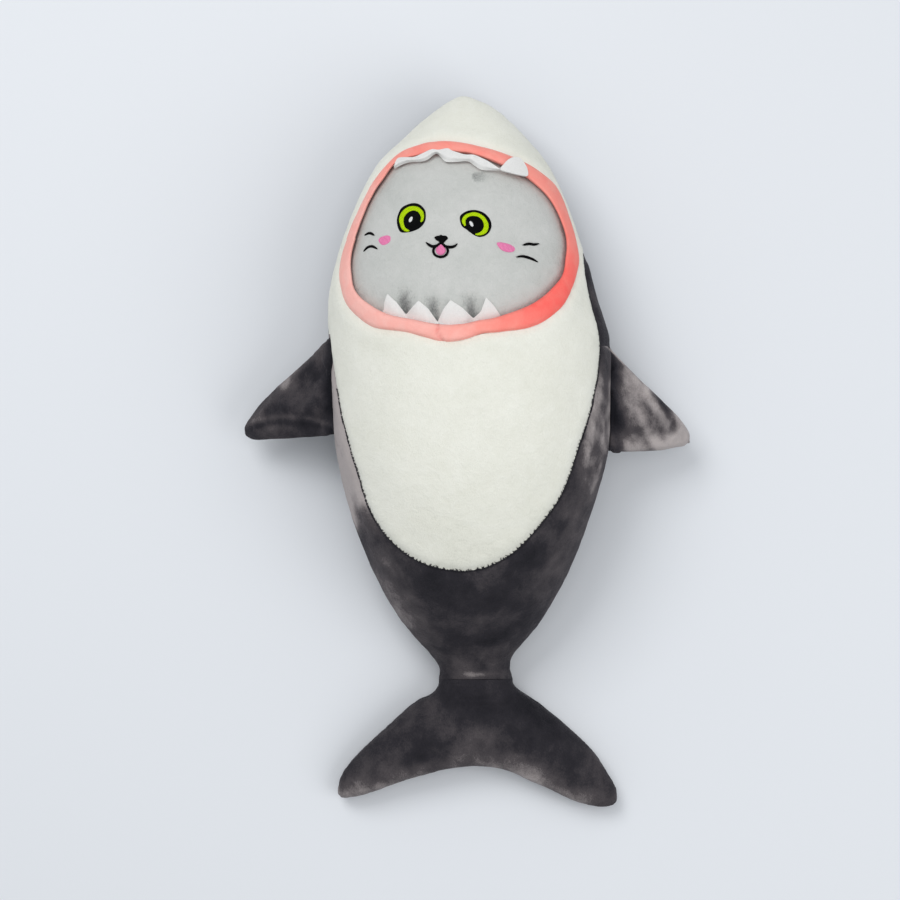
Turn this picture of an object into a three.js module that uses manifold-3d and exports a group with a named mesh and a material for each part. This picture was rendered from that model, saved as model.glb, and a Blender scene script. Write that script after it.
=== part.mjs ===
import * as THREE from 'three';
import { mergeVertices } from 'three/addons/utils/BufferGeometryUtils.js';
import Module from 'manifold-3d';

// Stuffed shark with a cat's face in its mouth, lying on its back.
// Millimetres. +Z is the belly side and +Y the nose. Left (-X) and right (+X) are as one looks down
// at the belly with the nose at the top. The origin is on the floor under the middle of the outline.

const wasm = await Module();
wasm.setup();

// ---- driving dimensions ----
const CLOTH = 1.6; // plush fabric with its pile
const GAP = 0.3; // left between pieces that touch
const FACE_SINK = 4.5; // the face lies this far below the belly's surface
const LIP_PROUD = 1.5; // the padded lip stands this far above it
const THREAD = 0.9; // height of the embroidery
const FELT = 1.3; // felt of the teeth
const TAIL_SEAM = -193; // where the tail is sewn on, along Y
const NOSE = 300; // tip of the nose, along Y
const CENTRE = { x: -0.3, y: 2.4 }; // brings the middle of the outline to the origin
const ROUND = 2.3; // how square the stuffed section is, 2 being an ellipse
const FULL = 0.55; // how full it is towards its seams, 0.5 being an ellipse

// Body along its length: Y, left edge, right edge, seam height, rise to the belly, drop to the back
const BODY = [
  [-193, -25, 38, 26, 20, 22],
  [-184, -24, 36, 28, 22, 24],
  [-174, -30, 38, 31, 26, 27],
  [-144, -54, 62, 43, 42, 40],
  [-103, -78, 85, 55, 60, 54],
  [-63, -95, 101, 62, 72, 66],
  [-22, -106, 114, 66, 80, 73],
  [8, -111, 119, 68, 83, 76],
  [48, -114, 120, 69, 85, 78],
  [89, -117, 120, 68, 85, 77],
  [129, -116, 109, 66, 82, 74],
  [170, -107, 98, 63, 76, 68],
  [210, -92, 84, 59, 66, 58],
  [240, -76, 70, 56, 54, 48],
  [260, -58, 54, 54, 42, 37],
  [280, -37, 33, 52, 28, 24],
  [291, -23, 18, 51, 17, 14],
  [298, -11, 3, 50, 8, 7],
  [NOSE, -5, -4, 50, 0.5, 0.5],
];

// Side fins from root to tip: front edge X, Y, rear edge X, Y, height, half thickness
const LEFT_FIN = [
  [-119.0, 89, -113.4, 14, 66, 0.8],
  [-122.5, 86.5, -117.5, 12.5, 65, 4],
  [-128, 82, -123.5, 11.5, 62.5, 8.5],
  [-141, 72, -138, 10.5, 56, 12.5],
  [-158, 57, -156, 10.5, 48, 12],
  [-174, 40.5, -172, 10.5, 40, 10],
  [-184, 27, -182.5, 11.5, 34, 6.5],
  [-189, 18, -188.5, 14.5, 31, 2],
];
const RIGHT_FIN = [
  [121.8, 84, 120.6, 0.5, 67, 0.8],
  [125.5, 80, 124.2, -0.5, 66, 4],
  [131, 75, 130, -0.8, 63, 9],
  [144, 63.5, 143, -0.5, 57, 13.5],
  [160, 48.5, 158.5, 0.5, 50, 12.5],
  [176, 33, 174.5, 3, 42, 10],
  [185, 22, 184, 5.5, 36, 6.5],
  [189.5, 14.5, 189, 9, 33, 2],
];
// Back fin, folded flat under the body towards the right
const BACK_FIN = [
  [2.5, 138, 2.5, 34, 9.5, 0.8],
  [8, 135, 8, 35, 8.5, 3.5],
  [20, 127, 20, 36, 8.5, 6.5],
  [42, 108, 42, 37, 9.5, 8],
  [62, 86, 62, 39, 8.5, 6],
  [76, 66, 76, 43, 7.5, 3.5],
  [82, 56, 82, 48, 7, 1.5],
];
// Tail fin across its width: X, rear edge, front edge, seam height, half thickness
const TAIL_FIN = [
  [-112, -292.5, -284, 12, 2],
  [-108, -296, -275, 13, 7],
  [-97, -294.5, -261.5, 16, 12],
  [-80, -289.5, -243.5, 18, 16],
  [-58, -281.5, -224.5, 20, 19],
  [-36, -274.5, -209, 22, 21],
  [-20, -270, -200, 23, 22],
  [8, -267, -198, 23, 22],
  [34, -271.5, -200, 23, 22],
  [50, -279, -207.5, 22, 21],
  [70, -288, -222.5, 20, 18],
  [90, -298, -239.5, 18, 15],
  [108, -303.5, -258, 15, 11],
  [122, -304, -278, 13, 7],
  [128, -299, -289, 12, 2],
];
// Stalk that joins the tail fin to the body: Y, left, right, seam height, rise, drop
const STALK = [
  [TAIL_SEAM - GAP, -25, 38, 26, 20, 22],
  [-204, -27, 41, 24, 19.5, 21.5],
  [-222, -24, 38, 23, 16, 17],
  [-236, -14, 26, 23, 8, 8],
];

// ---- curves ----

// A smooth curve through rows of [position, value, value, ...]
function smoothTable(rows) {
  const last = rows.length - 1;
  return (at) => {
    let i = 0;
    while (i < last - 1 && at > rows[i + 1][0]) i += 1;
    const from = rows[i];
    const to = rows[i + 1];
    const before = rows[Math.max(i - 1, 0)];
    const after = rows[Math.min(i + 2, last)];
    const span = to[0] - from[0];
    const s = THREE.MathUtils.clamp((at - from[0]) / span, 0, 1);
    return from.slice(1).map((value, k) => {
      const c = k + 1;
      const slopeIn = ((to[c] - before[c]) / (to[0] - before[0])) * span;
      const slopeOut = ((after[c] - value) / (after[0] - from[0])) * span;
      const s2 = s * s;
      const s3 = s2 * s;
      return (
        (2 * s3 - 3 * s2 + 1) * value +
        (s3 - 2 * s2 + s) * slopeIn +
        (3 * s2 - 2 * s3) * to[c] +
        (s3 - s2) * slopeOut
      );
    });
  };
}

// A closed smooth outline in plan through a few points
function outline(points, count) {
  const curve = new THREE.CatmullRomCurve3(
    points.map(([x, y]) => new THREE.Vector3(x, y, 0)),
    true,
    'centripetal',
  );
  return curve.getSpacedPoints(count).slice(0, count).map((p) => new THREE.Vector2(p.x, p.y));
}

// The same outline moved outward by a distance
function grow(points, distance) {
  const turn = Math.sign(THREE.ShapeUtils.area(points));
  return points.map((p, i) => {
    const before = points[(i + points.length - 1) % points.length];
    const after = points[(i + 1) % points.length];
    const along = after.clone().sub(before).normalize();
    return new THREE.Vector2(p.x + along.y * distance * turn, p.y - along.x * distance * turn);
  });
}

// How high a stuffed section stands at u, -1 and 1 being its seams
function dome(u) {
  return Math.pow(Math.max(0, 1 - Math.pow(Math.abs(u), ROUND)), FULL);
}

// A measure less an inset, never quite reaching zero however small it is
function less(measure, inset) {
  if (inset <= 0) return measure - inset;
  return measure - inset * (1 - Math.exp(-measure / inset));
}

function smoothStep(from, to, at) {
  return THREE.MathUtils.smoothstep(at, from, to);
}

// ---- solids ----

function manifoldOf(geometry) {
  const plain = geometry.clone();
  plain.deleteAttribute('normal');
  plain.deleteAttribute('uv');
  const merged = mergeVertices(plain, 1e-4);
  const mesh = new wasm.Mesh({
    numProp: 3,
    vertProperties: new Float32Array(merged.attributes.position.array),
    triVerts: new Uint32Array(merged.index.array),
  });
  return new wasm.Manifold(mesh);
}

// A solid through a row of closed rings that all have the same number of points
function loft(rings) {
  const n = rings[0].length;
  const corners = rings.flat();
  const faces = [];
  for (let i = 0; i + 1 < rings.length; i += 1) {
    for (let j = 0; j < n; j += 1) {
      const a = i * n + j;
      const b = i * n + ((j + 1) % n);
      faces.push(a, b, a + n, b, b + n, a + n);
    }
  }
  [0, rings.length - 1].forEach((r) => {
    const middle = new THREE.Vector3();
    rings[r].forEach((p) => middle.add(p));
    corners.push(middle.divideScalar(n));
    const hub = corners.length - 1;
    for (let j = 0; j < n; j += 1) {
      const a = r * n + j;
      const b = r * n + ((j + 1) % n);
      if (r === 0) faces.push(hub, b, a);
      else faces.push(hub, a, b);
    }
  });
  let volume = 0;
  for (let k = 0; k < faces.length; k += 3) {
    const [p, q, s] = [corners[faces[k]], corners[faces[k + 1]], corners[faces[k + 2]]];
    volume += p.dot(q.clone().cross(s));
  }
  if (volume < 0) {
    for (let k = 0; k < faces.length; k += 3) {
      [faces[k], faces[k + 1]] = [faces[k + 1], faces[k]];
    }
  }
  return new wasm.Manifold(
    new wasm.Mesh({
      numProp: 3,
      vertProperties: new Float32Array(corners.flatMap((p) => [p.x, p.y, p.z])),
      triVerts: new Uint32Array(faces),
    }),
  );
}

// An upright prism on an outline in plan
function prism(points, low = -20, high = 220) {
  const shape = new THREE.Shape(points);
  const geometry = new THREE.ExtrudeGeometry(shape, {
    depth: high - low,
    bevelEnabled: false,
    curveSegments: 1,
  });
  return manifoldOf(geometry.translate(0, 0, low));
}

function box(x0, y0, z0, x1, y1, z1) {
  const size = new THREE.BoxGeometry(x1 - x0, y1 - y0, z1 - z0);
  return manifoldOf(size.translate((x0 + x1) / 2, (y0 + y1) / 2, (z0 + z1) / 2));
}

// ---- body ----

const bodyAt = smoothTable(BODY);
const BODY_STEPS = 26;
const FRONT_STEPS = 14;

// The underside lies flat on the floor, and is pressed up where the back fin is folded under it
function floorUnder(x, y) {
  const along = smoothStep(-6, 24, y) * (1 - smoothStep(148, 178, y));
  const across = smoothStep(-10, 5, x) * (1 - smoothStep(84, 104, x));
  return 23 * along * across;
}

// The body's surface moved inward by a distance
function body(inset, tailEnd = TAIL_SEAM) {
  const rings = [];
  for (let i = 0; i <= BODY_STEPS; i += 1) {
    const even = i / BODY_STEPS;
    const bunched = (1 - Math.cos(Math.PI * even)) / 2;
    const y = THREE.MathUtils.lerp(TAIL_SEAM, NOSE, 0.45 * even + 0.55 * bunched);
    const [left, right, seam, rise, drop] = bodyAt(y);
    const half = (right - left) / 2;
    const middle = (right + left) / 2;
    const lessHalf = less(half, inset);
    const lessRise = less(rise, inset);
    const lessDrop = less(drop, inset);
    const at = i === 0 ? tailEnd : y;
    const ring = [];
    for (let j = 0; j < 2 * FRONT_STEPS; j += 1) {
      const u = -Math.cos((Math.PI * j) / FRONT_STEPS);
      const x = middle + lessHalf * u;
      if (j <= FRONT_STEPS) {
        ring.push(new THREE.Vector3(x, at, seam + lessRise * dome(u)));
      } else {
        const z = Math.max(seam - lessDrop * dome(u), floorUnder(x, y) + inset);
        ring.push(new THREE.Vector3(x, at, z));
      }
    }
    rings.push(ring);
  }
  return loft(rings);
}

// Everything above (or below) the seam that runs round the body
function sideOfSeam(up, clearance) {
  const rings = [];
  for (let i = 0; i <= 16; i += 1) {
    const y = THREE.MathUtils.lerp(TAIL_SEAM, NOSE, i / 16);
    const at = i === 0 ? y - 30 : i === 16 ? y + 20 : y;
    const seam = bodyAt(y)[2] + (up ? clearance : -clearance);
    const far = up ? 240 : -40;
    ring4(rings, at, seam, far);
  }
  return loft(rings);
}

function ring4(rings, y, near, far) {
  rings.push([
    new THREE.Vector3(-220, y, near),
    new THREE.Vector3(220, y, near),
    new THREE.Vector3(220, y, far),
    new THREE.Vector3(-220, y, far),
  ]);
}

// White front: below the fins its edge runs in a deep U across the belly
const BELLY_EDGE = [
  [-114, 96], [-112, 70], [-106, 42], [-99, 14], [-91, -14], [-81, -45], [-63, -71], [-33, -91],
  [2, -98], [33, -82], [58, -56], [75, -30], [90, 8], [101, 40], [107, 70], [108, 96], [102, 126],
  [97, 152], [96, 164],
];
const LIP_OUTER = [
  [-61, 247], [-79, 226], [-93, 201], [-106, 167], [-107, 142], [-100, 121], [-79, 104], [-51, 97],
  [-18, 90], [15, 96], [48, 104], [71, 118], [86, 138], [93, 164], [92, 189], [82, 217], [61, 235],
  [36, 246], [6, 254], [-21, 257], [-44, 254],
];
const LIP_INNER = [
  [-62, 239], [-76, 220], [-86, 202], [-97, 167], [-97, 145], [-91, 129], [-71, 114], [-52, 109],
  [-20, 103], [10, 108], [25, 112], [54, 125], [75, 143], [82, 162], [82, 182], [69, 208], [49, 227],
  [26, 238], [6, 246], [-19, 249], [-44, 246],
];

// The open U is sampled smoothly, then closed round the outside of the head
function bellyRegion(distance) {
  const curve = new THREE.CatmullRomCurve3(
    BELLY_EDGE.map(([x, y]) => new THREE.Vector3(x, y, 0)),
    false,
    'centripetal',
  );
  const edge = curve.getSpacedPoints(44).map((p) => new THREE.Vector2(p.x, p.y));
  const moved = edge.map((p, i) => {
    const before = edge[Math.max(i - 1, 0)];
    const after = edge[Math.min(i + 1, edge.length - 1)];
    const along = after.clone().sub(before).normalize();
    return new THREE.Vector2(p.x + along.y * distance, p.y - along.x * distance);
  });
  return [
    new THREE.Vector2(-200, 96 - distance),
    ...moved,
    new THREE.Vector2(200, 172 - distance),
    new THREE.Vector2(200, 340),
    new THREE.Vector2(-200, 340),
  ];
}

const lipOuter = outline(LIP_OUTER, 56);
const lipInner = outline(LIP_INNER, 52);
const skin = body(0).subtract(body(CLOTH, TAIL_SEAM - 10));
const above = sideOfSeam(true, GAP / 2);
const below = sideOfSeam(false, GAP / 2);
const frontSkin = skin.intersect(above);
const backSkin = skin.intersect(below);
const bellyPrism = prism(bellyRegion(0));
const aroundBelly = prism(bellyRegion(GAP));
const FIN_LINE = 88;

// The dark back reaches round onto the front on the right, between the fin and the cheek
const sideStrip = prism([
  new THREE.Vector2(60, FIN_LINE + GAP),
  new THREE.Vector2(200, FIN_LINE + GAP),
  new THREE.Vector2(200, 200),
  new THREE.Vector2(60, 200),
]).subtract(aroundBelly);
const lowerFront = prism([
  new THREE.Vector2(-200, -230),
  new THREE.Vector2(200, -230),
  new THREE.Vector2(200, FIN_LINE),
  new THREE.Vector2(-200, FIN_LINE),
]).subtract(aroundBelly);

const bellyPanel = frontSkin.intersect(bellyPrism).subtract(prism(grow(lipOuter, GAP)));
const lowerFrontPanel = frontSkin.intersect(lowerFront);

// The side of the back's centre seam that one back panel covers, -1 left and 1 right
function besideCentreSeam(side) {
  const shift = (side * GAP) / 2;
  const line = [-230, -193, -120, 0, 120, 230, 305, 330].map((y) => {
    const [left, right] = bodyAt(THREE.MathUtils.clamp(y, TAIL_SEAM, NOSE));
    return new THREE.Vector2((left + right) / 2 + shift, y);
  });
  return prism([...line, new THREE.Vector2(side * 220, 330), new THREE.Vector2(side * 220, -230)]);
}

const backPanelLeft = backSkin.intersect(besideCentreSeam(-1));
const rightBack = below.intersect(besideCentreSeam(1)).add(sideStrip.intersect(sideOfSeam(true, -6)));
const backPanelRight = skin.intersect(rightBack);

const wellAbove = sideOfSeam(true, 2);
const lipRing = prism(lipOuter).subtract(prism(lipInner)).intersect(wellAbove);
const lipBand = body(-LIP_PROUD).subtract(body(FACE_SINK - GAP)).intersect(lipRing);
const faceRegion = prism(grow(lipInner, 5)).intersect(prism(lipOuter)).intersect(wellAbove);
const facePanel = body(FACE_SINK).subtract(body(FACE_SINK + CLOTH)).intersect(faceRegion);
const underLip = body(-LIP_PROUD - 1)
  .subtract(body(FACE_SINK + CLOTH + GAP))
  .intersect(prism(grow(lipOuter, GAP)))
  .intersect(sideOfSeam(true, 2 - GAP));
const bodyFilling = body(CLOTH + GAP, TAIL_SEAM - 10)
  .intersect(box(-200, TAIL_SEAM, -10, 200, NOSE - 4, 220))
  .subtract(underLip);

// ---- embroidery and felt, both following the face's surface ----

const onFace = body(FACE_SINK - GAP);
const threadLayer = body(FACE_SINK - GAP - THREAD).subtract(onFace).intersect(wellAbove);
const feltLayer = body(FACE_SINK - GAP - FELT).subtract(onFace).intersect(wellAbove);
const insideLip = prism(grow(lipInner, -GAP));

function stitched(points, holes = []) {
  let patch = prism(points);
  holes.forEach((hole) => {
    patch = patch.subtract(prism(hole));
  });
  return threadLayer.intersect(patch);
}

function oval(x, y, halfWide, halfHigh, turnDegrees, count = 18) {
  const turn = THREE.MathUtils.degToRad(turnDegrees);
  const points = [];
  for (let i = 0; i < count; i += 1) {
    const angle = (2 * Math.PI * i) / count;
    const p = new THREE.Vector2(halfWide * Math.cos(angle), halfHigh * Math.sin(angle));
    points.push(p.rotateAround(new THREE.Vector2(), turn).add(new THREE.Vector2(x, y)));
  }
  return points;
}

// A stitched line of some width along a few points
function stroke(points, width) {
  const curve = new THREE.CatmullRomCurve3(points.map(([x, y]) => new THREE.Vector3(x, y, 0)));
  const run = curve.getSpacedPoints(6);
  const left = [];
  const right = [];
  run.forEach((p, i) => {
    const before = run[Math.max(i - 1, 0)];
    const after = run[Math.min(i + 1, run.length - 1)];
    const along = after.clone().sub(before).normalize();
    const taper = width * (i === 0 || i === run.length - 1 ? 0.25 : 0.5);
    left.push(new THREE.Vector2(p.x - along.y * taper, p.y + along.x * taper));
    right.unshift(new THREE.Vector2(p.x + along.y * taper, p.y - along.x * taper));
  });
  return [...left, ...right];
}

const EYES = {
  left: { x: -48, y: 192, wide: 12.2, high: 12.2, look: [0.8, -1.2] },
  right: { x: 5, y: 187.5, wide: 13, high: 11.4, look: [-1.5, 0] },
};

function eyeParts({ x, y, wide, high, look }) {
  const rim = oval(x, y, wide, high, 0, 24);
  const irisEdge = oval(x, y, wide - 2.6, high - 2.6, 0, 20);
  const px = x + look[0];
  const py = y + look[1];
  const pupilEdge = oval(px, py, wide * 0.5, high * 0.58, 0, 16);
  const glint = oval(px + 1.2, py + 2.2, 1.8, 2.9, 0, 10);
  return {
    outline: stitched(rim, [grow(irisEdge, GAP / 2)]),
    iris: stitched(grow(irisEdge, -GAP / 2), [grow(pupilEdge, GAP / 2)]),
    pupil: stitched(grow(pupilEdge, -GAP / 2), [grow(glint, GAP / 2)]),
    glint: stitched(grow(glint, -GAP / 2)),
  };
}

const noseShape = outline([
  [-29, 176.5], [-22.8, 177.6], [-16.6, 176.5], [-18.5, 173.6], [-22.8, 171.6], [-27, 173.6],
], 14);
const mouthLeft = stroke([[-35.2, 171.4], [-31.5, 168.6], [-26, 169.3], [-23, 170.9]], 1.8);
const mouthRight = stroke([[-22.6, 170.9], [-19.5, 169.3], [-14, 168.9], [-9, 171.2]], 1.8);
const tongueShape = outline([
  [-28.3, 167.4], [-22.8, 168], [-17.5, 167.4], [-17.8, 162.4], [-22.8, 159.2], [-27.8, 162.6],
], 16);
const whiskers = {
  left_upper: [[-86, 179.8], [-82, 180.3], [-78.5, 179.5]],
  left_lower: [[-86.5, 166.3], [-81, 169.4], [-75, 167.3]],
  right_upper: [[44.5, 170.4], [51, 171.2], [57.5, 171]],
  right_lower: [[39.5, 160.3], [46, 160.6], [56.5, 156.1]],
};

// Rows of felt points on a straight base strip
const LOWER_TEETH = [
  [-68, 114.5], [-66.4, 129], [-50.7, 116], [-41.7, 124.5], [-26.2, 112.5], [-14.7, 125], [3.6, 113.5],
  [13.9, 126.3], [25, 112.5], [4, 110], [-20, 105.5], [-50, 111],
];
const UPPER_TEETH = [
  [-62, 235.5], [-47, 238.5], [-36, 239], [-26.5, 243.5], [-19, 238.5], [-1, 237.5], [10, 231], [25, 231.5],
  [36, 228], [47.5, 224], [46, 229], [25.5, 237.5], [5, 244.5], [-19, 248], [-44, 245], [-60.5, 239.5],
];

function felt(points) {
  return feltLayer.intersect(prism(points.map(([x, y]) => new THREE.Vector2(x, y)))).intersect(insideLip);
}

// ---- fins ----

// A stuffed flap: each row gives its front edge, rear edge, height and half thickness
function flap(rows, inset, steps = 8, endInset = inset) {
  const rings = rows.map(([fx, fy, rx, ry, z, half], i) => {
    const front = new THREE.Vector2(fx, fy);
    const rear = new THREE.Vector2(rx, ry);
    const chord = front.distanceTo(rear);
    const width = less(chord / 2, inset) / chord;
    const thick = less(half, inset);
    const lengthwise = rowShift(rows, i, endInset);
    const ring = [];
    for (let j = 0; j < 2 * steps; j += 1) {
      const u = -Math.cos((Math.PI * j) / steps);
      const p = rear.clone().lerp(front, 0.5 + u * width).add(lengthwise);
      const side = j <= steps ? 1 : -1;
      ring.push(new THREE.Vector3(p.x, p.y, Math.max(z + side * thick * dome(u), inset)));
    }
    return ring;
  });
  return loft(rings);
}

// The first and last rows of an inset flap move in along its length
function rowShift(rows, i, inset) {
  const outward = Math.sign(rows[rows.length - 1][0] - rows[0][0]);
  if (i === 0) return new THREE.Vector2(outward * inset, 0);
  if (i === rows.length - 1) return new THREE.Vector2(-outward * inset, 0);
  return new THREE.Vector2();
}

// Splits a stuffed shape's skin at its edge seam, and fills it
function sewn(outer, inner, core, seamHeights) {
  const upperSide = seamSheet(seamHeights, true);
  const lowerSide = seamSheet(seamHeights, false);
  const shell = outer.subtract(inner);
  return {
    front: shell.intersect(upperSide),
    back: shell.intersect(lowerSide),
    filling: core,
  };
}

// The space above or below a seam whose height changes along X
function seamSheet(heights, up) {
  const rings = heights.map(([x, z]) => {
    const near = z + (up ? GAP / 2 : -GAP / 2);
    const far = up ? 200 : -40;
    return [
      new THREE.Vector3(x, -330, near),
      new THREE.Vector3(x, 330, near),
      new THREE.Vector3(x, 330, far),
      new THREE.Vector3(x, -330, far),
    ];
  });
  return loft(rings);
}

function seamHeights(rows, zColumn) {
  const heights = rows.map((row) => [row[0], row[zColumn]]);
  const first = heights[0];
  const last = heights[heights.length - 1];
  const outward = Math.sign(last[0] - first[0]);
  return [[first[0] - outward * 10, first[1]], ...heights, [last[0] + outward * 10, last[1]]];
}

// The filling stops short of the stitched root and tip
function finParts(rows) {
  return sewn(
    flap(rows, 0),
    flap(rows, CLOTH),
    flap(rows.slice(1, -1), CLOTH + GAP, 8, 0),
    seamHeights(rows, 4),
  );
}

// ---- tail ----

const TAIL_FLAP = TAIL_FIN.map(([x, rear, front, z, half]) => [x, front, x, rear, z, half]);

function stalk(inset, endShift) {
  const rings = STALK.map(([y, left, right, seam, rise, drop], i) => {
    const at = i === 0 ? y + endShift : y;
    const middle = (left + right) / 2;
    const half = (right - left) / 2 - inset;
    const ring = [];
    for (let j = 0; j < 16; j += 1) {
      const u = -Math.cos((Math.PI * j) / 8);
      const height = j <= 8 ? (rise - inset) * dome(u) : -(drop - inset) * dome(u);
      ring.push(new THREE.Vector3(middle + half * u, at, Math.max(seam + height, inset)));
    }
    return ring;
  });
  return loft(rings);
}

const tailOuter = flap(TAIL_FLAP, 0, 7).add(stalk(0, 0));
const tailInner = flap(TAIL_FLAP, CLOTH, 7).add(stalk(CLOTH, 4));
const tailCore = flap(TAIL_FLAP.slice(1, -1), CLOTH + GAP, 7, 0)
  .add(stalk(CLOTH + GAP, 4))
  .intersect(box(-200, -340, -10, 200, TAIL_SEAM - GAP, 220));
const tailParts = sewn(tailOuter, tailInner, tailCore, [
  [-130, 12], [-112, 12], [-80, 18], [-36, 22], [-20, 23],
  [34, 23], [50, 22], [90, 18], [128, 12], [140, 12],
]);

// ---- the toy, piece by piece ----

const shark = new THREE.Group();
shark.name = 'plush_shark';
shark.position.set(CENTRE.x, CENTRE.y, 0);

const WHITE_PLUSH = { color: 0xe3e2da, roughness: 0.95 };
const DARK_PLUSH = { color: 0x3f3d43, roughness: 0.92 };
const GREY_PLUSH = { color: 0xc3c5c0, roughness: 0.95 };
const CORAL_PLUSH = { color: 0xf58a78, roughness: 0.9 };
const FELT_WHITE = { color: 0xe4e3e2, roughness: 1.0 };
const FIBRE = { color: 0xf2f1ec, roughness: 1.0 };
const BLACK_THREAD = { color: 0x18171a, roughness: 0.55 };
const GREEN_THREAD = { color: 0x9ac62a, roughness: 0.5 };
const WHITE_THREAD = { color: 0xf4f4f0, roughness: 0.5 };
const PINK_THREAD = { color: 0xea74b0, roughness: 0.55 };

function addPiece(name, shape, look) {
  const { vertProperties, triVerts } = shape.getMesh();
  const geometry = new THREE.BufferGeometry();
  geometry.setAttribute('position', new THREE.BufferAttribute(new Float32Array(vertProperties), 3));
  geometry.setIndex(new THREE.BufferAttribute(new Uint32Array(triVerts), 1));
  geometry.computeVertexNormals();
  const material = new THREE.MeshStandardMaterial({ metalness: 0, ...look });
  const mesh = new THREE.Mesh(geometry, material);
  mesh.name = name;
  shark.add(mesh);
}

addPiece('belly_panel', bellyPanel, WHITE_PLUSH);
addPiece('lower_front_panel', lowerFrontPanel, DARK_PLUSH);
addPiece('back_panel_left', backPanelLeft, DARK_PLUSH);
addPiece('back_panel_right', backPanelRight, DARK_PLUSH);
addPiece('body_filling', bodyFilling, FIBRE);
addPiece('lip_band', lipBand, CORAL_PLUSH);
addPiece('cat_face_panel', facePanel, GREY_PLUSH);
addPiece('lower_teeth', felt(LOWER_TEETH), FELT_WHITE);
addPiece('upper_teeth', felt(UPPER_TEETH), FELT_WHITE);

Object.entries(EYES).forEach(([side, eye]) => {
  const parts = eyeParts(eye);
  addPiece(`${side}_eye_outline`, parts.outline, BLACK_THREAD);
  addPiece(`${side}_eye_iris`, parts.iris, GREEN_THREAD);
  addPiece(`${side}_eye_pupil`, parts.pupil, BLACK_THREAD);
  addPiece(`${side}_eye_glint`, parts.glint, WHITE_THREAD);
});
addPiece('cat_nose', stitched(noseShape), BLACK_THREAD);
addPiece('cat_mouth_left', stitched(mouthLeft), BLACK_THREAD);
addPiece('cat_mouth_right', stitched(mouthRight), BLACK_THREAD);
addPiece('cat_tongue', stitched(tongueShape), PINK_THREAD);
addPiece('left_cheek', stitched(oval(-69.3, 174.8, 5.8, 3.9, 28)), PINK_THREAD);
addPiece('right_cheek', stitched(oval(30.4, 168.1, 8, 3.6, -8)), PINK_THREAD);
Object.entries(whiskers).forEach(([place, points]) => {
  addPiece(`whisker_${place}`, stitched(stroke(points, 1.7)), BLACK_THREAD);
});

Object.entries({
  left_fin: finParts(LEFT_FIN),
  right_fin: finParts(RIGHT_FIN),
  back_fin: finParts(BACK_FIN),
  tail: tailParts,
}).forEach(([name, parts]) => {
  addPiece(`${name}_front_panel`, parts.front, DARK_PLUSH);
  addPiece(`${name}_back_panel`, parts.back, DARK_PLUSH);
  addPiece(`${name}_filling`, parts.filling, FIBRE);
});

export default shark;
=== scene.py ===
"""A stuffed shark toy with a cat's face in its mouth, lying on its back on a pale floor.

Shapes are worked out in millimetres in the toy's design frame: +Y to the nose, +X to the right as seen from
above, +Z up from the floor. metres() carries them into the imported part's frame.
"""

import math

import bpy
import numpy as np
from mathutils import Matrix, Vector
from mathutils.kdtree import KDTree


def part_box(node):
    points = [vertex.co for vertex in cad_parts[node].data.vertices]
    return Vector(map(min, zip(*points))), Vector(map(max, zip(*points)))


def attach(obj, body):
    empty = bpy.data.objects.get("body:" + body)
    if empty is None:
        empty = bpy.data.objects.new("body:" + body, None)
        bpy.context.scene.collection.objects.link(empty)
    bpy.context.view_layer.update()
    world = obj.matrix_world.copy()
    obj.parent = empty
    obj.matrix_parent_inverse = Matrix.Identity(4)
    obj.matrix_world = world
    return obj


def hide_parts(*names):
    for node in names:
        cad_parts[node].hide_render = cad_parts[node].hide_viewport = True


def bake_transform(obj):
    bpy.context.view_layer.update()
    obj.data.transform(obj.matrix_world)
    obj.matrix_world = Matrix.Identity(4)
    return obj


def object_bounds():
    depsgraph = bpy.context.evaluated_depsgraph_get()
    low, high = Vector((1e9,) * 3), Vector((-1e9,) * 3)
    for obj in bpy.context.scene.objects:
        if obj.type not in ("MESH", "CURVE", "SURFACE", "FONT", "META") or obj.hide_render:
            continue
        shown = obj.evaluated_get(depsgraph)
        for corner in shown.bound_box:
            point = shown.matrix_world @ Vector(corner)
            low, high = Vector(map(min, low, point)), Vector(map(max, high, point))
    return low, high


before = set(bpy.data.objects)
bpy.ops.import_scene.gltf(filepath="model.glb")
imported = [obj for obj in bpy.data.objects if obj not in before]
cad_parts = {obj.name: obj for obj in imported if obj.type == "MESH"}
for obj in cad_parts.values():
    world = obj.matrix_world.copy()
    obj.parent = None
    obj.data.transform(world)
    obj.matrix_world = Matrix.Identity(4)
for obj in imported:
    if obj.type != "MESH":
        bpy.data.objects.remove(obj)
cad_low, cad_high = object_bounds()

# ---------------------------------------------------------------- driving dimensions, millimetres

NOSE = 300
TAIL_SEAM = -193
BODY_RIGHT = 120
SKIN = 1.5
ROUND = 2.3
FULL = 0.55
FIN_LINE = 88
TAIL_GROOVE = 1.0

SHIFT = np.array([
    round(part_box("back_panel_right")[1].x * 1000 - BODY_RIGHT, 1),
    round(cad_high.y * 1000 - NOSE, 1),
    0,
])

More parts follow.
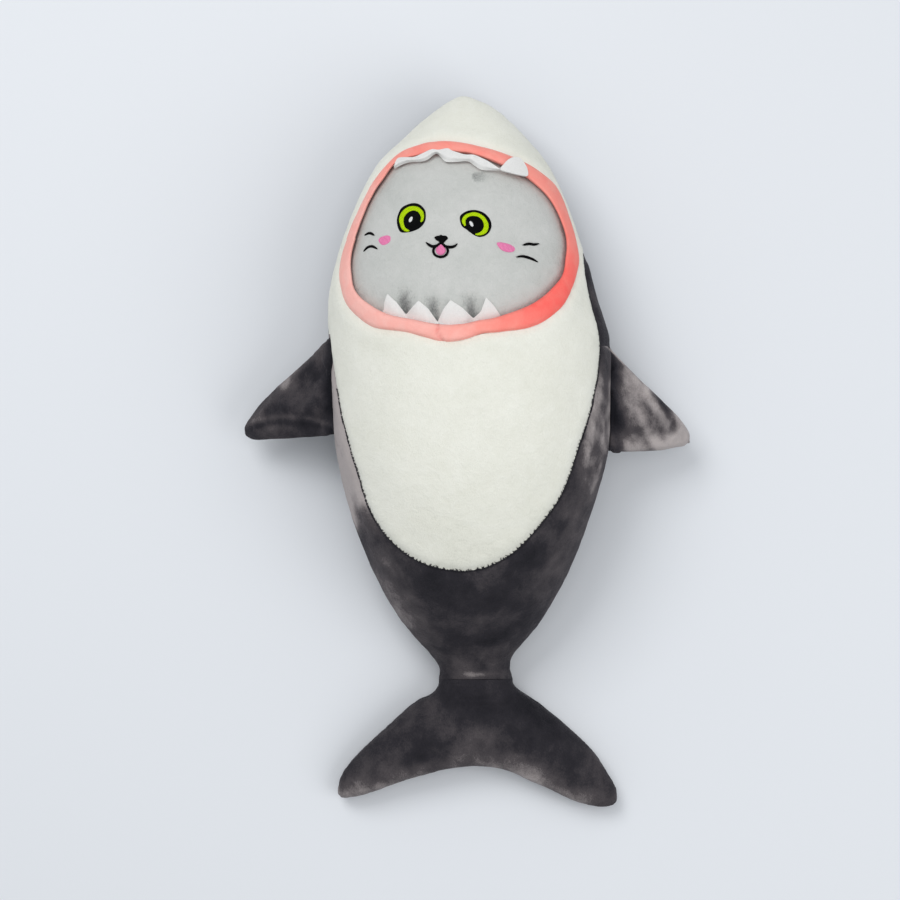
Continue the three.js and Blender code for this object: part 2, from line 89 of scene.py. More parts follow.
# One row per station along the body: Y, left edge, right edge, seam height, rise in front, drop behind.
BODY = [
    (-193, -25.6, 39, 26, 20, 22), (-184, -25, 36.5, 28, 22, 24), (-174, -31.5, 38, 31, 26, 27),
    (-144, -56, 61.5, 43, 42, 40), (-103, -78.5, 84, 55, 60, 54), (-63, -95.5, 99.5, 62, 72, 66),
    (-22, -106.5, 112.5, 66, 80, 73), (8, -111.5, 118, 68, 83, 76), (48, -114.5, 119.5, 69, 85, 78),
    (89, -117.5, 119, 68, 85, 77), (129, -117.5, 107.5, 66, 82, 74), (170, -109, 96, 63, 76, 68),
    (210, -94, 82.5, 59, 66, 58), (240, -78, 69, 56, 54, 48), (260, -59, 53.5, 54, 42, 37),
    (280, -37, 33, 52, 28, 24), (291, -23, 18, 51, 17, 14), (298, -11, 3, 50, 8, 7),
    (300, -5, -4, 50, 0.5, 0.5),
]

# Outlines on the front, seen from above.
BELLY_EDGE = [
    (-117.3, 99), (-114.6, 74), (-108.6, 42), (-102.2, 14), (-94, -14), (-84, -46), (-66.5, -73), (-38, -93),
    (2, -99), (35.5, -85), (62, -58), (79.5, -32), (93, 7), (103, 39), (109, 70), (109.5, 96), (102.5, 126),
    (98, 150), (97.5, 162), (100, 171),
]
LIP_OUTER = [
    (-61, 247), (-79, 226), (-93, 201), (-106, 167), (-107, 142), (-100, 121), (-80.4, 103.4),
    (-51, 97.8), (-18, 90),
    (15, 97), (49.2, 101.7), (73, 116), (86.6, 138), (93, 164), (90.8, 189), (80, 215), (59.3, 232.8),
    (36, 245.4),
    (6, 254.5), (-21, 258.2), (-44, 255),
]
LIP_INNER = [
    (-62, 239), (-76, 220), (-86, 202), (-97, 167), (-97, 145), (-91, 129), (-71, 114), (-52, 109),
    (-20, 103),
    (10, 107), (25.6, 110.4), (55.4, 122.8), (75.8, 142), (81.2, 162), (80, 182), (69, 208), (49, 227),
    (26, 238), (6, 246),
    (-19, 249), (-44, 246),
]
MOUTH_CENTRE = np.array([-9.0, 177.0])

# One row per section of a fin, root to tip: front X, front Y, rear X, rear Y, height, half thickness.
LEFT_FIN = [
    (-108, 90, -103, 18, 70, 4), (-115, 92, -110, 17, 73, 5), (-120, 89, -115.5, 16, 70, 7),
    (-128, 81, -123.5, 15, 64, 10), (-141, 69.5, -138, 14, 56, 12.5), (-158, 55, -156, 13, 48, 12),
    (-174, 39.5, -172, 12, 40, 10), (-183.5, 27.5, -182, 12, 34, 6.5), (-188, 20, -187.5, 15, 31, 2.5),
]
RIGHT_FIN = [
    (111, 85, 111, 1, 71, 4), (117.5, 87.5, 118.5, 0.5, 74, 5), (122.5, 83, 122.2, -1, 71, 7.5),
    (131, 74, 130, -1.5, 65, 11), (144, 61.5, 143, -1, 57, 13.5), (160, 47, 158.5, 0, 50, 12.5),
    (175, 32.5, 173.5, 2.5, 42, 10), (184, 22.5, 183, 3.5, 36, 6.5), (188.5, 16.5, 188, 7, 33, 3),
]
BACK_FIN = [
    (-3, 138, -3, 34, 9.5, 2.6), (2.5, 138, 2.5, 34, 9.5, 2.6), (8, 135, 8, 35, 8.5, 3.5),
    (20, 127, 20, 36, 8.5, 6.5), (42, 108, 42, 37, 9.5, 8), (62, 86, 62, 39, 8.5, 6),
    (76, 66, 76, 43, 7.5, 3.5),
    (82, 56, 82, 48, 7, 1.5),
]
# The tail fin from left tip to right tip: X, rear Y, front Y, height, half thickness.
TAIL_FIN = [
    (-112, -292.5, -284, 12, 2), (-108, -296, -275, 13, 7), (-97, -294.5, -261.5, 16, 12),
    (-80, -289.5, -243.5, 18, 16), (-58, -281.5, -224.5, 20, 19), (-36, -274.5, -209, 22, 21),
    (-20, -270, -200, 23, 22), (8, -267, -198, 23, 22), (34, -271.5, -200, 23, 22),
    (50, -279, -207.5, 22, 21),
    (70, -288, -222.5, 20, 18), (90, -298, -239.5, 18, 15), (108, -303.5, -258, 15, 11),
    (122, -304, -278, 13, 7),
    (128, -299, -289, 12, 2),
]
STALK = [
    (-184, -24, 36.5, 26, 20, 22), (-193.3, -24.6, 38.6, 26, 20, 22), (-198, -26.4, 42, 25, 19.8, 21.8),
    (-203, -29.5, 46.5, 24, 19, 21), (-211, -32, 47, 23.5, 17, 18.5), (-222, -24, 38, 23, 15, 16),
    (-236, -14, 26, 23, 8, 8),
]

# Embroidery and felt on the face, seen from above.
LEFT_EYE = dict(
    outline=[(-59.4, 190.7), (-58.1, 196.5), (-55, 201.7), (-47.8, 204.8), (-41.5, 204.2), (-36.9, 200.1),
             (-35.5, 195.8), (-36.1, 189.5), (-39.9, 184.3), (-46.1, 181.3), (-52.8, 180.2), (-56.4, 181),
             (-58.5, 184.8)],
    iris_out=[(-49.2, 181.1), (-51.8, 181), (-54.9, 182.9), (-57, 187.4), (-57.5, 192.7), (-55, 198.5),
              (-49.3, 202.3), (-42.6, 202.1), (-38.1, 198.5), (-36.8, 194.3), (-37.4, 190.1), (-38.9, 188.6)],
    iris_in=[(-49, 182.1), (-50.8, 183.3), (-52.3, 185.1), (-53.4, 188.9), (-52.7, 193.3), (-49.3, 197),
             (-45.1, 198.2), (-41.3, 196.2), (-39.7, 192.7), (-39.8, 190.6), (-40, 189.6), (-40.1, 189.2)],
    pupil=(-46.7, 189.7, 6.4), glint=(-47.8, 191.1, 0.35),
)
RIGHT_EYE = dict(
    outline=[(-7.5, 191.9), (-6, 195.1), (-1.4, 197.9), (4.8, 198.8), (11, 197.2), (15.6, 193.6),
             (18.2, 188.9),
             (18.4, 184.1), (16.1, 179.4), (12, 176.7), (7.8, 176.2), (3.7, 178), (-1.4, 181.9), (-6, 185.6)],
    iris_out=[(-3.7, 185.1), (-5.5, 187.7), (-5.7, 190.9), (-3.9, 194), (-0.8, 195.9), (4.8, 197),
              (10.5, 195),
              (14.6, 190.9), (16.4, 186.2), (15.4, 181), (12, 178.1), (7.3, 177.3), (5.1, 178.2)],
    iris_in=[(-2.4, 185.8), (-2.3, 187.2), (-2.6, 189.1), (-1.6, 191.4), (0.5, 192.9), (3.8, 193.3),
             (7.7, 192.5), (10.5, 189.9), (11.9, 185.7), (10.7, 182), (8.7, 180.2), (6.8, 179.3),
             (5.3, 178.8)],
    pupil=(4.3, 186.1, 7), glint=(2.1, 186.9, -0.35),
)
NOSE_SHAPE = [
    (-28.3, 175.9), (-26.5, 177), (-24.5, 177.3), (-22.9, 178), (-21.4, 177.3), (-18.8, 177.1),
    (-17.1, 175.1),
    (-18.8, 173.1), (-20.7, 171.2), (-22.9, 170.2), (-25, 172.4), (-27.2, 173.8),
]
TONGUE_EDGE = [
    (-29.1, 165.3), (-27.9, 167.9), (-25.5, 169.4), (-22.9, 171), (-20.4, 169.2), (-18.3, 167.3),
    (-17.3, 164.7),
    (-18.3, 161.6), (-20.9, 159.8), (-23.9, 159.5), (-27, 160.6), (-28.8, 162.7),
]
TONGUE = [
    (-27.2, 165.3), (-25.8, 167.9), (-22.9, 170.2), (-20.4, 167.8), (-19, 165.2), (-20.1, 162.3),
    (-22.9, 160.9),
    (-26, 162.2),
]
CHEEKS = dict(
    left=[(-74.6, 174.3), (-72.6, 177), (-67.6, 178.3), (-64.7, 177), (-64.9, 173.2), (-68.3, 170.7),
          (-71.7, 170.5)],
    right=[(23, 171.2), (28, 171.6), (34.6, 169.7), (37.9, 166.7), (35.9, 164), (30.4, 163.9), (25.5, 166.5)],
)
STROKES = dict(
    cat_mouth_left=[(-35.3, 171.8), (-33.2, 170), (-30.1, 168.3), (-27, 168.6), (-24.5, 169.9),
                    (-23.1, 171.5)],
    cat_mouth_right=[(-23.1, 171.5), (-21.4, 169.9), (-18.8, 168.1), (-14.7, 167.6), (-11.7, 168.5),
                     (-9.4, 170.6)],
    whisker_left_upper=[(-86.5, 179.4), (-83.6, 180.6), (-81.1, 180.7), (-78, 178.8)],
    whisker_left_lower=[(-87.2, 165.7), (-83.5, 168.9), (-79.6, 169.5), (-75.3, 167.1)],
    whisker_right_upper=[(44.2, 169.8), (49.5, 171), (53.6, 170.6), (58.2, 171.5)],
    whisker_right_lower=[(38.8, 159.7), (44.4, 160.4), (51.1, 158.7), (56.9, 156)],
)
LOWER_TEETH = [
    (-70.1, 113.7), (-69.5, 122.3), (-67, 129.5), (-59.4, 122.5), (-51.5, 112.3), (-46.4, 118.2),
    (-41.3, 123.5), (-33.1, 116.7), (-25.7, 106), (-20.8, 116.6), (-15.1, 123.8), (-5.5, 117.6), (3.6, 109),
    (9.8, 114.6), (13.9, 125.9), (20, 119.7), (25.7, 111.5),
]
UPPER_TEETH_BASE = [
    (-61.9, 235.5), (-54.9, 238.7), (-48, 240.5), (-39.6, 240.5), (-34.1, 242.1), (-26.5, 247.1),
    (-19.6, 240.3), (-10.6, 239.8), (-0.9, 240.2), (4.6, 236.6), (10.1, 233.1), (18.4, 232.5), (26, 232.6),
]
UPPER_TEETH_EDGE = [
    (-61.3, 240.7), (-57.9, 244.7), (-46.6, 244.4), (-39.7, 246.8), (-31.3, 250.6), (-25.1, 250.4),
    (-17.5, 251.3), (-13.3, 249.1), (-3.7, 246.1), (4.6, 245.4), (11.5, 242.5), (17, 239.6), (25.6, 233.6),
]
TURNED_TOOTH = [
    (26.1, 233.2), (28.8, 237.6), (33, 242.1), (37.9, 244.4), (42.8, 243.7), (46.2, 239.8), (48.7, 234.8),
    (48.9, 228.8), (41.9, 229.1), (33.5, 230.8),
]
# Hollows in the face that run up from the valleys between the lower teeth, also painted darker there as
# shade: valley, far end.
HOLLOWS = [((-51.5, 112.3), (-56, 140)), ((-26.5, 106), (-32.6, 136)), ((3.6, 109), (-1, 136))]
# Corners of a small triangle below the upper teeth, painted darker as an upper tooth's shadow.
TOOTH_SHADOW = np.array([(3, 230.5), (25, 229.5), (7.3, 221.6)])


# ---------------------------------------------------------------- curves, noise and small sums

def metres(points):
    """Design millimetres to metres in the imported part's frame."""
    return (np.asarray(points, float) + SHIFT) / 1000


def smoothstep(low, high, v):
    """A smooth rise from 0 at the first limit to 1 at the second."""
    t = np.clip((v - low) / (high - low), 0, 1)
    return t * t * (3 - 2 * t)


def read_rows(rows, at):
    """The rows' other columns where the first one is `at`, on a smooth cubic through them."""
    rows = np.array(rows, float)
    at = np.asarray(at, float)
    key = rows[:, 0]
    before = np.vstack([rows[:1], rows[:-1]])
    after = np.vstack([rows[1:], rows[-1:]])
    slope = (after - before) / (after[:, :1] - before[:, :1])
    i = np.clip(np.searchsorted(key, at, side="right") - 1, 0, len(key) - 2)
    span = key[i + 1] - key[i]
    t = np.clip((at - key[i]) / span, 0, 1)[..., None]
    span = span[..., None]
    value = (
        (2 * t**3 - 3 * t**2 + 1) * rows[i]
        + (t**3 - 2 * t**2 + t) * span * slope[i]
        + (3 * t**2 - 2 * t**3) * rows[i + 1]
        + (t**3 - t**2) * span * slope[i + 1]
    )
    return value[..., 1:]


def curve(points, count, closed=False):
    """`count` points evenly along a smooth curve through the given ones."""
    p = np.array(points, float)
    if closed:
        p = np.vstack([p[-1:], p, p[:2]])
    else:
        p = np.vstack([2 * p[0] - p[1], p, 2 * p[-1] - p[-2]])
    t = np.linspace(0, 1, 12, endpoint=False)[:, None]
    parts = []
    for a, b, c, d in zip(p[:-3], p[1:-2], p[2:-1], p[3:]):
        parts.append(0.5 * (2 * b + (c - a) * t + (2 * a - 5 * b + 4 * c - d) * t**2
                            + (3 * b - a - 3 * c + d) * t**3))
    fine = np.vstack([*parts, p[-2:-1]])
    return along(fine, np.linspace(0, 1, count, endpoint=not closed))


def along(line, shares):
    """Points at these shares of a line's length."""
    step = np.linalg.norm(np.diff(line, axis=0), axis=1)
    reach = np.concatenate([[0], np.cumsum(step)])
    return np.column_stack([np.interp(np.asarray(shares) * reach[-1], reach, c) for c in line.T])


def hashed(i, j, k, seed):
    """A random number from -1 to 1 for each lattice corner, the same in every run."""
    h = (i * 73856093) ^ (j * 19349663) ^ (k * 83492791) ^ (seed * 2654435761)
    h &= 0xFFFFFFFF
    h = ((h ^ (h >> 15)) * 2246822519) & 0xFFFFFFFF
    h = ((h ^ (h >> 13)) * 3266489917) & 0xFFFFFFFF
    return (h ^ (h >> 16)) / 0x7FFFFFFF - 1


def noise(points, size, seed=0):
    """Smooth random values from -1 to 1 at the points, with bumps of about `size` millimetres."""
    p = np.asarray(points, float) / size
    cell = np.floor(p).astype(np.int64)
    f = p - cell
    f = f * f * (3 - 2 * f)
    total = 0
    for dx in (0, 1):
        for dy in (0, 1):
            for dz in (0, 1):
                weight = (
                    np.where(dx, f[:, 0], 1 - f[:, 0])
                    * np.where(dy, f[:, 1], 1 - f[:, 1])
                    * np.where(dz, f[:, 2], 1 - f[:, 2])
                )
                total = total + weight * hashed(cell[:, 0] + dx, cell[:, 1] + dy, cell[:, 2] + dz, seed)
    return total


def inside(outline, x, y):
    """True for each point inside a closed outline."""
    x, y = np.asarray(x, float), np.asarray(y, float)
    result = np.zeros(x.shape, bool)
    for (ax, ay), (bx, by) in zip(outline, np.roll(outline, -1, axis=0)):
        if ay == by:
            continue
        crosses = (ay > y) != (by > y)
        result ^= crosses & (x < (bx - ax) * (y - ay) / (by - ay) + ax)
    return result


def line_distance(line, x, y):
    """Distance from each point to a line of close samples."""
    tree = KDTree(len(line))
    for i, p in enumerate(line):
        tree.insert((p[0], p[1], 0), i)
    tree.balance()
    shape = np.shape(x)
    pairs = zip(np.ravel(x), np.ravel(y))
    return np.array([tree.find((a, b, 0))[2] for a, b in pairs]).reshape(shape)


def signed_distance(outline, x, y):
    """Distance to a closed outline, positive inside it."""
    d = line_distance(outline, x, y)
    return np.where(inside(outline, x, y), d, -d)


# ---------------------------------------------------------------- the toy's own surfaces

def dome(u):
    return np.maximum(0, 1 - np.abs(u) ** ROUND) ** FULL


def floor_under(x, y):
    """How high the back is held where the folded back fin lies under it."""
    over_y = smoothstep(-6, 24, y) * (1 - smoothstep(148, 178, y))
    over_x = smoothstep(-10, 5, x) * (1 - smoothstep(84, 104, x))
    return 23 * over_y * over_x


def front_height(x, y):
    """Height of the front skin over the floor."""
    left, right, seam, rise, _ = np.moveaxis(read_rows(BODY, y), -1, 0)
    u = np.clip((x - (left + right) / 2) / ((right - left) / 2), -1, 1)
    return seam + rise * dome(u)


def hollow(x, y):
    """How deep each place lies in the hollows of the face, from 0 to 1."""
    total = np.zeros(np.shape(x))
    for (ax, ay), (bx, by) in HOLLOWS:
        length = math.hypot(bx - ax, by - ay)
        ux, uy = (bx - ax) / length, (by - ay) / length
        t = ((x - ax) * ux + (y - ay) * uy) / length
        off = (x - ax) * uy - (y - ay) * ux
        wide = 4.4 + 4.6 * np.clip(t, 0, 1)
        along_it = smoothstep(-0.4, 0.1, t) * (1 - smoothstep(0.25, 1.05, t))
        total = np.maximum(total, along_it * np.exp(-((off / wide) ** 2)))
    return total


def inside_the_sides(line, free=0.92, room=0.055):
    """A line on the front, eased inward where it comes near the body's sides."""
    left, right = np.moveaxis(read_rows(BODY, line[:, 1]), -1, 0)[:2]
    middle, half = (left + right) / 2, (right - left) / 2
    u = (line[:, 0] - middle) / half
    past = np.maximum(np.abs(u) - free, 0)
    u = np.sign(u) * (np.minimum(np.abs(u), free) + room * (1 - np.exp(-past / room)))
    return np.column_stack([middle + u * half, line[:, 1]])


lip_outer = inside_the_sides(curve(LIP_OUTER, 700, closed=True))
lip_inner = curve(LIP_INNER, 700, closed=True)


def face_height(x, y):
    """Height of the cat's face, which sits back in the mouth and most of all at its edge."""
    edge = np.maximum(signed_distance(lip_inner, x, y), 0)
    z = front_height(x, y) - 3.4 - 5.2 * np.exp(-edge / 9)
    return z - 3.5 * hollow(x, y)


# ---------------------------------------------------------------- mesh tools: arrays of points and triangles

def grid_triangles(rows, columns, wrap=False):
    """Triangles of a rows x columns grid; wrap joins the last column to the first."""
    r = np.arange(rows - 1)[:, None]
    c = np.arange(columns if wrap else columns - 1)[None, :]
    nxt = (c + 1) % columns
    a, b = r * columns + c, r * columns + nxt
    d, e = (r + 1) * columns + c, (r + 1) * columns + nxt
    return np.concatenate([np.stack([a, b, e], -1).reshape(-1, 3), np.stack([a, e, d], -1).reshape(-1, 3)])


def vertex_normals(points, triangles):
    """A unit normal for every point, from the triangles around it."""
    a, b, c = (points[triangles[:, k]] for k in range(3))
    n = np.cross(b - a, c - a)
    total = np.zeros_like(points)
    for k in range(3):
        np.add.at(total, triangles[:, k], n)
    return total / np.maximum(np.linalg.norm(total, axis=1, keepdims=True), 1e-12)


def cut(data, triangles, level):
    """Splits triangles where `level` changes sign. Columns of data are carried along.
    Returns the data, the triangles where level is positive, and the others."""
    level = np.where(np.abs(level) < 1e-4, 1e-4, level)
    positive = level > 0
    side = positive[triangles]
    count = side.sum(1)
    whole_in, whole_out = triangles[count == 3], triangles[count == 0]
    mixed = (count == 1) | (count == 2)
    t, s = triangles[mixed], side[mixed]
    lone_is_positive = count[mixed] == 1
    lone = np.where(lone_is_positive, s.argmax(1), (~s).argmax(1))
    row = np.arange(len(t))
    a, b, c = t[row, lone], t[row, (lone + 1) % 3], t[row, (lone + 2) % 3]
    pairs = np.concatenate([np.sort(np.stack([a, b], 1), 1), np.sort(np.stack([a, c], 1), 1)])
    edges, index = np.unique(pairs, axis=0, return_inverse=True)
    index = index.reshape(-1)
    la, lb = level[edges[:, 0]], level[edges[:, 1]]
    share = (la / (la - lb))[:, None]
    fresh = data[edges[:, 0]] * (1 - share) + data[edges[:, 1]] * share
    ab, ac = index[: len(t)] + len(data), index[len(t):] + len(data)
    tips = np.stack([a, ab, ac], 1)
    rests = np.concatenate([np.stack([ab, b, c], 1), np.stack([ab, c, ac], 1)])
    twice = np.concatenate([lone_is_positive, lone_is_positive])
    keep_in = np.concatenate([whole_in, tips[lone_is_positive], rests[~twice]])
    keep_out = np.concatenate([whole_out, tips[~lone_is_positive], rests[twice]])
    return np.vstack([data, fresh]), keep_in, keep_out


def compact(data, triangles):
    """Drops the points that no triangle uses."""
    used, index = np.unique(triangles, return_inverse=True)
    return data[used], index.reshape(-1, 3)


def shell(points, triangles, depth, normals=None):
    """A closed skin: the surface, a copy of it `depth` further in, and a rim round its edges.
    Returns points, triangles and the surface's open edges."""
    if normals is None:
        normals = vertex_normals(points, triangles)
    n = len(points)
    inner = points - normals * np.reshape(depth, (-1, 1))
    directed = np.concatenate([triangles[:, [0, 1]], triangles[:, [1, 2]], triangles[:, [2, 0]]])
    key = directed[:, 0] * n + directed[:, 1]
    back = directed[:, 1] * n + directed[:, 0]
    rim = directed[~np.isin(key, back)]
    a, b = rim[:, 0], rim[:, 1]
    walls = np.concatenate([np.stack([b, a, a + n], 1), np.stack([b, a + n, b + n], 1)])
    return np.vstack([points, inner]), np.concatenate([triangles, triangles[:, ::-1] + n, walls]), rim


MADE_OF = {"plush": "plush", "felt": "felt", "thread": "stitching"}


def make(name, points, triangles, slot, sharp=None, values=None):
    """A smooth-shaded mesh object from design millimetres.

    `values` are per-point numbers for its material.
    """
    material = MATERIALS[slot]
    name = f"{name}_{MADE_OF[slot.split('_')[-1]]}"
    mesh = bpy.data.meshes.new(name)
    mesh.from_pydata(metres(points).tolist(), [], triangles.tolist())
    mesh.shade_smooth()
    if sharp is not None and len(sharp):
        ends = np.zeros(len(mesh.edges) * 2, np.int64)
        mesh.edges.foreach_get("vertices", ends)
        ends = np.sort(ends.reshape(-1, 2), axis=1)
        n = len(points)
        marked = np.isin(ends[:, 0] * n + ends[:, 1], np.sort(sharp, 1) @ np.array([n, 1]))
        attribute = mesh.attributes.new("sharp_edge", "BOOLEAN", "EDGE")
        attribute.data.foreach_set("value", marked)
    for key, value in (values or {}).items():
        column = np.resize(value, len(points)).astype(np.float32)
        mesh.attributes.new(key, "FLOAT", "POINT").data.foreach_set("value", column)
    mesh.materials.append(material)
    made = bpy.data.objects.new(name, mesh)
    bpy.context.scene.collection.objects.link(made)
    return made


class Seams:
    """Sewn lines. Nearby skin is pulled down into a groove and gathers in small puckers along it."""

    def __init__(self):
        self.points = []
        self.runs = []
        self.depths = []

    def add(self, line, depth):
        line = np.asarray(line, float)
        step = np.linalg.norm(np.diff(line, axis=0), axis=1)
        count = max(2, int(step.sum() / 1.5))
        even = along(line, np.linspace(0, 1, count))
        start = self.runs[-1] + 100 if self.runs else 0
        self.points.extend(even.tolist())
        self.runs.extend((start + np.linspace(0, step.sum(), count)).tolist())
        self.depths.extend([depth] * count)

    def nearest(self, points):
        """Distance to the nearest sewn line, the place along it, and its depth, for each point."""
        tree = KDTree(len(self.points))
        for i, p in enumerate(self.points):
            tree.insert(p, i)
        tree.balance()
        found = [tree.find(p)[1:] for p in points.tolist()]
        index = np.array([f[0] for f in found])
        return np.array([f[1] for f in found]), np.array(self.runs)[index], np.array(self.depths)[index]

    def sink(self, points, width=4.0, pucker=0.5, pitch=6.0):
        """How far each point goes down along its normal."""
        d, run, depth = self.nearest(points)
        groove = depth * np.exp(-((d / width) ** 2))
        swell = 0.25 * depth * np.exp(-(((d - 2.6 * width) / (1.6 * width)) ** 2))
        place = np.column_stack([run, d * 0.35, np.zeros(len(d))])
        gathers = noise(place, pitch, 3) * np.exp(-d / (2.2 * width)) * smoothstep(0, 1.5, d)
        return groove - swell + pucker * gathers


# ---------------------------------------------------------------- materials

def colour(r, g, b):
    """An sRGB colour from 0 to 255 as the linear values that Blender takes."""
    c = np.array([r, g, b]) / 255
    linear = np.where(c <= 0.04045, c / 12.92, ((c + 0.055) / 1.055) ** 2.4)
    return (*linear.tolist(), 1.0)


class Nodes:
    """A material's node tree, built by short calls."""

    def __init__(self, name):
        self.material = bpy.data.materials.new(name)
        self.material.use_nodes = True
        self.tree = self.material.node_tree
        self.shader = self.tree.nodes["Principled BSDF"]
        self.place = self.add("ShaderNodeTexCoord").outputs["Object"]

    def add(self, kind, **settings):
        node = self.tree.nodes.new(kind)
        for key, value in settings.items():
            setattr(node, key, value)
        return node

    def link(self, source, target):
        if hasattr(source, "is_output"):
            self.tree.links.new(source, target)
        else:
            target.default_value = source

    def math(self, operation, a, b=0.0, c=0.0, clamp=False):
        node = self.add("ShaderNodeMath", operation=operation, use_clamp=clamp)
        for value, socket in zip((a, b, c), node.inputs):
            self.link(value, socket)
        return node.outputs[0]

    def noise(self, size_mm, detail=2.0, distortion=0.0, stretch=None, roughness=0.5):
        """Noise from 0 to 1 with features of about this size."""
        place = self.place
        if stretch is not None:
            mapping = self.add("ShaderNodeMapping")
            mapping.inputs["Scale"].default_value = stretch
            self.link(place, mapping.inputs["Vector"])
            place = mapping.outputs[0]
        node = self.add("ShaderNodeTexNoise")
        self.link(place, node.inputs["Vector"])
        node.inputs["Scale"].default_value = 1000 / size_mm
        node.inputs["Detail"].default_value = detail
        node.inputs["Roughness"].default_value = roughness
        node.inputs["Distortion"].default_value = distortion
        return node.outputs["Fac"]

    def attribute(self, name):
        return self.add("ShaderNodeAttribute", attribute_name=name).outputs["Fac"]

    def ramp(self, value, stops):
        node = self.add("ShaderNodeValToRGB")
        elements = node.color_ramp.elements
        while len(elements) < len(stops):
            elements.new(0.5)
        for element, (position, shade) in zip(elements, stops):
            element.position = position
            element.color = shade
        self.link(value, node.inputs["Fac"])
        return node.outputs["Color"]

    def mix(self, share, a, b, blend="MIX"):
        node = self.add("ShaderNodeMix", data_type="RGBA", blend_type=blend)
        self.link(share, node.inputs["Factor"])
        self.link(a, node.inputs["A"])
        self.link(b, node.inputs["B"])
        return next(o for o in node.outputs if o.type == "RGBA")

    def bump(self, heights):
        """Bumps from (height, millimetres) pairs, one on top of another."""
        normal = None
        for height, mm in heights:
            node = self.add("ShaderNodeBump")
            node.inputs["Distance"].default_value = mm / 1000
            node.inputs["Strength"].default_value = 1.0
            self.link(height, node.inputs["Height"])
            if normal is not None:
                self.link(normal, node.inputs["Normal"])
            normal = node.outputs["Normal"]
        self.link(normal, self.shader.inputs["Normal"])

    def finish(self, base, roughness=0.9, sheen=0.0, sheen_roughness=0.5, tint=(1, 1, 1, 1), specular=0.3):
        self.link(base, self.shader.inputs["Base Color"])
        self.link(roughness, self.shader.inputs["Roughness"])
        self.shader.inputs["Sheen Weight"].default_value = sheen
        self.shader.inputs["Sheen Roughness"].default_value = sheen_roughness
        self.shader.inputs["Sheen Tint"].default_value = tint
        self.shader.inputs["Specular IOR Level"].default_value = specular
        return self.material


def pile(nodes, depth=0.5):
    """Short pile: fibre tips under a millimetre across, and the lie of the nap over a few."""
    tips = nodes.noise(0.9, 3, 0.4, stretch=(1.0, 0.55, 1.0), roughness=0.65)
    lie = nodes.noise(7, 2, 0.8)
    nodes.bump([(lie, 1.1 * depth), (tips, 0.9 * depth)])
    return tips, lie


def pale_plush(name, low, high, deep, sheen, depth=0.5):
    """White or grey plush: nearly even, with faint soft clouds and pile shadows."""
    nodes = Nodes(name)
    tips, lie = pile(nodes, depth)
    clouds = nodes.noise(45, 3, 0.6)
    tone = nodes.math("MULTIPLY_ADD", clouds, 0.5, nodes.math("MULTIPLY", lie, 0.3))
    tone = nodes.math("MULTIPLY_ADD", tips, 0.45, nodes.math("SUBTRACT", tone, 0.12))
    tone = nodes.math("ADD", tone, nodes.attribute("shade"), clamp=True)
    base = nodes.ramp(tone, [(0.0, deep), (0.35, low), (0.8, high)])
    return nodes.finish(base, 0.95, sheen, 0.45, specular=0.15)


def dark_plush():
    """Charcoal plush with a crushed nap. `shade` says how light each place is: the lie of the nap, and on
    several pieces painted highlights and painted shadows; soft clouds go over it.
    """
    nodes = Nodes("dark_plush")
    tips, lie = pile(nodes, 0.7)
    clouds = nodes.noise(52, 3, 0.7, roughness=0.5)
    brushed = nodes.noise(13, 3, 0.8, stretch=(1.0, 0.6, 1.0))
    tone = nodes.math("MULTIPLY_ADD", clouds, 0.5, nodes.math("MULTIPLY", brushed, 0.28))
    tone = nodes.math("MULTIPLY_ADD", tips, 0.34, nodes.math("SUBTRACT", tone, 0.65))
    tone = nodes.math("MULTIPLY_ADD", lie, 0.18, tone)
    tone = nodes.math("ADD", tone, nodes.attribute("shade"), clamp=True)
    base = nodes.ramp(tone, [
        (0.0, colour(20, 20, 26)), (0.3, colour(43, 41, 46)), (0.6, colour(80, 75, 77)),
        (1.0, colour(176, 168, 166)),
    ])
    return nodes.finish(base, 0.9, 0.12, 0.35, colour(205, 200, 210), specular=0.2)


def coral_plush():
    """Coral plush, from a pale pink to a deep coral by the piece's own tone; `shade` mixes in a dark red
    painted shadow.
    """
    nodes = Nodes("coral_plush")
    tips, _ = pile(nodes, 0.4)
    patches = nodes.noise(16, 3, 0.8)
    tone = nodes.math("MULTIPLY_ADD", patches, 0.45, nodes.attribute("tone"))
    tone = nodes.math("MULTIPLY_ADD", tips, 0.2, nodes.math("SUBTRACT", tone, 0.32), clamp=True)
    base = nodes.ramp(tone, [
        (0.0, colour(248, 190, 180)), (0.45, colour(250, 156, 143)), (1.0, colour(255, 102, 94)),
    ])
    shadow = nodes.attribute("shade")
    base = nodes.mix(shadow, base, colour(186, 44, 54))
    return nodes.finish(base, 0.8, 0.15, 0.4, colour(255, 225, 220), specular=0.2)


def felt(name, low, high):
    """Pressed felt: matted fibres with no weave."""
    nodes = Nodes(name)
    matt = nodes.noise(1.6, 4, 2.2, roughness=0.7)
    fibre = nodes.noise(0.5, 2, 1.0)
    nodes.bump([(matt, 0.35), (fibre, 0.2)])
    base = nodes.ramp(nodes.math("MULTIPLY_ADD", matt, 0.7, nodes.math("MULTIPLY", fibre, 0.3)), [
        (0.25, low), (0.75, high),
    ])
    return nodes.finish(base, 0.95, 0.1, 0.5, specular=0.1)


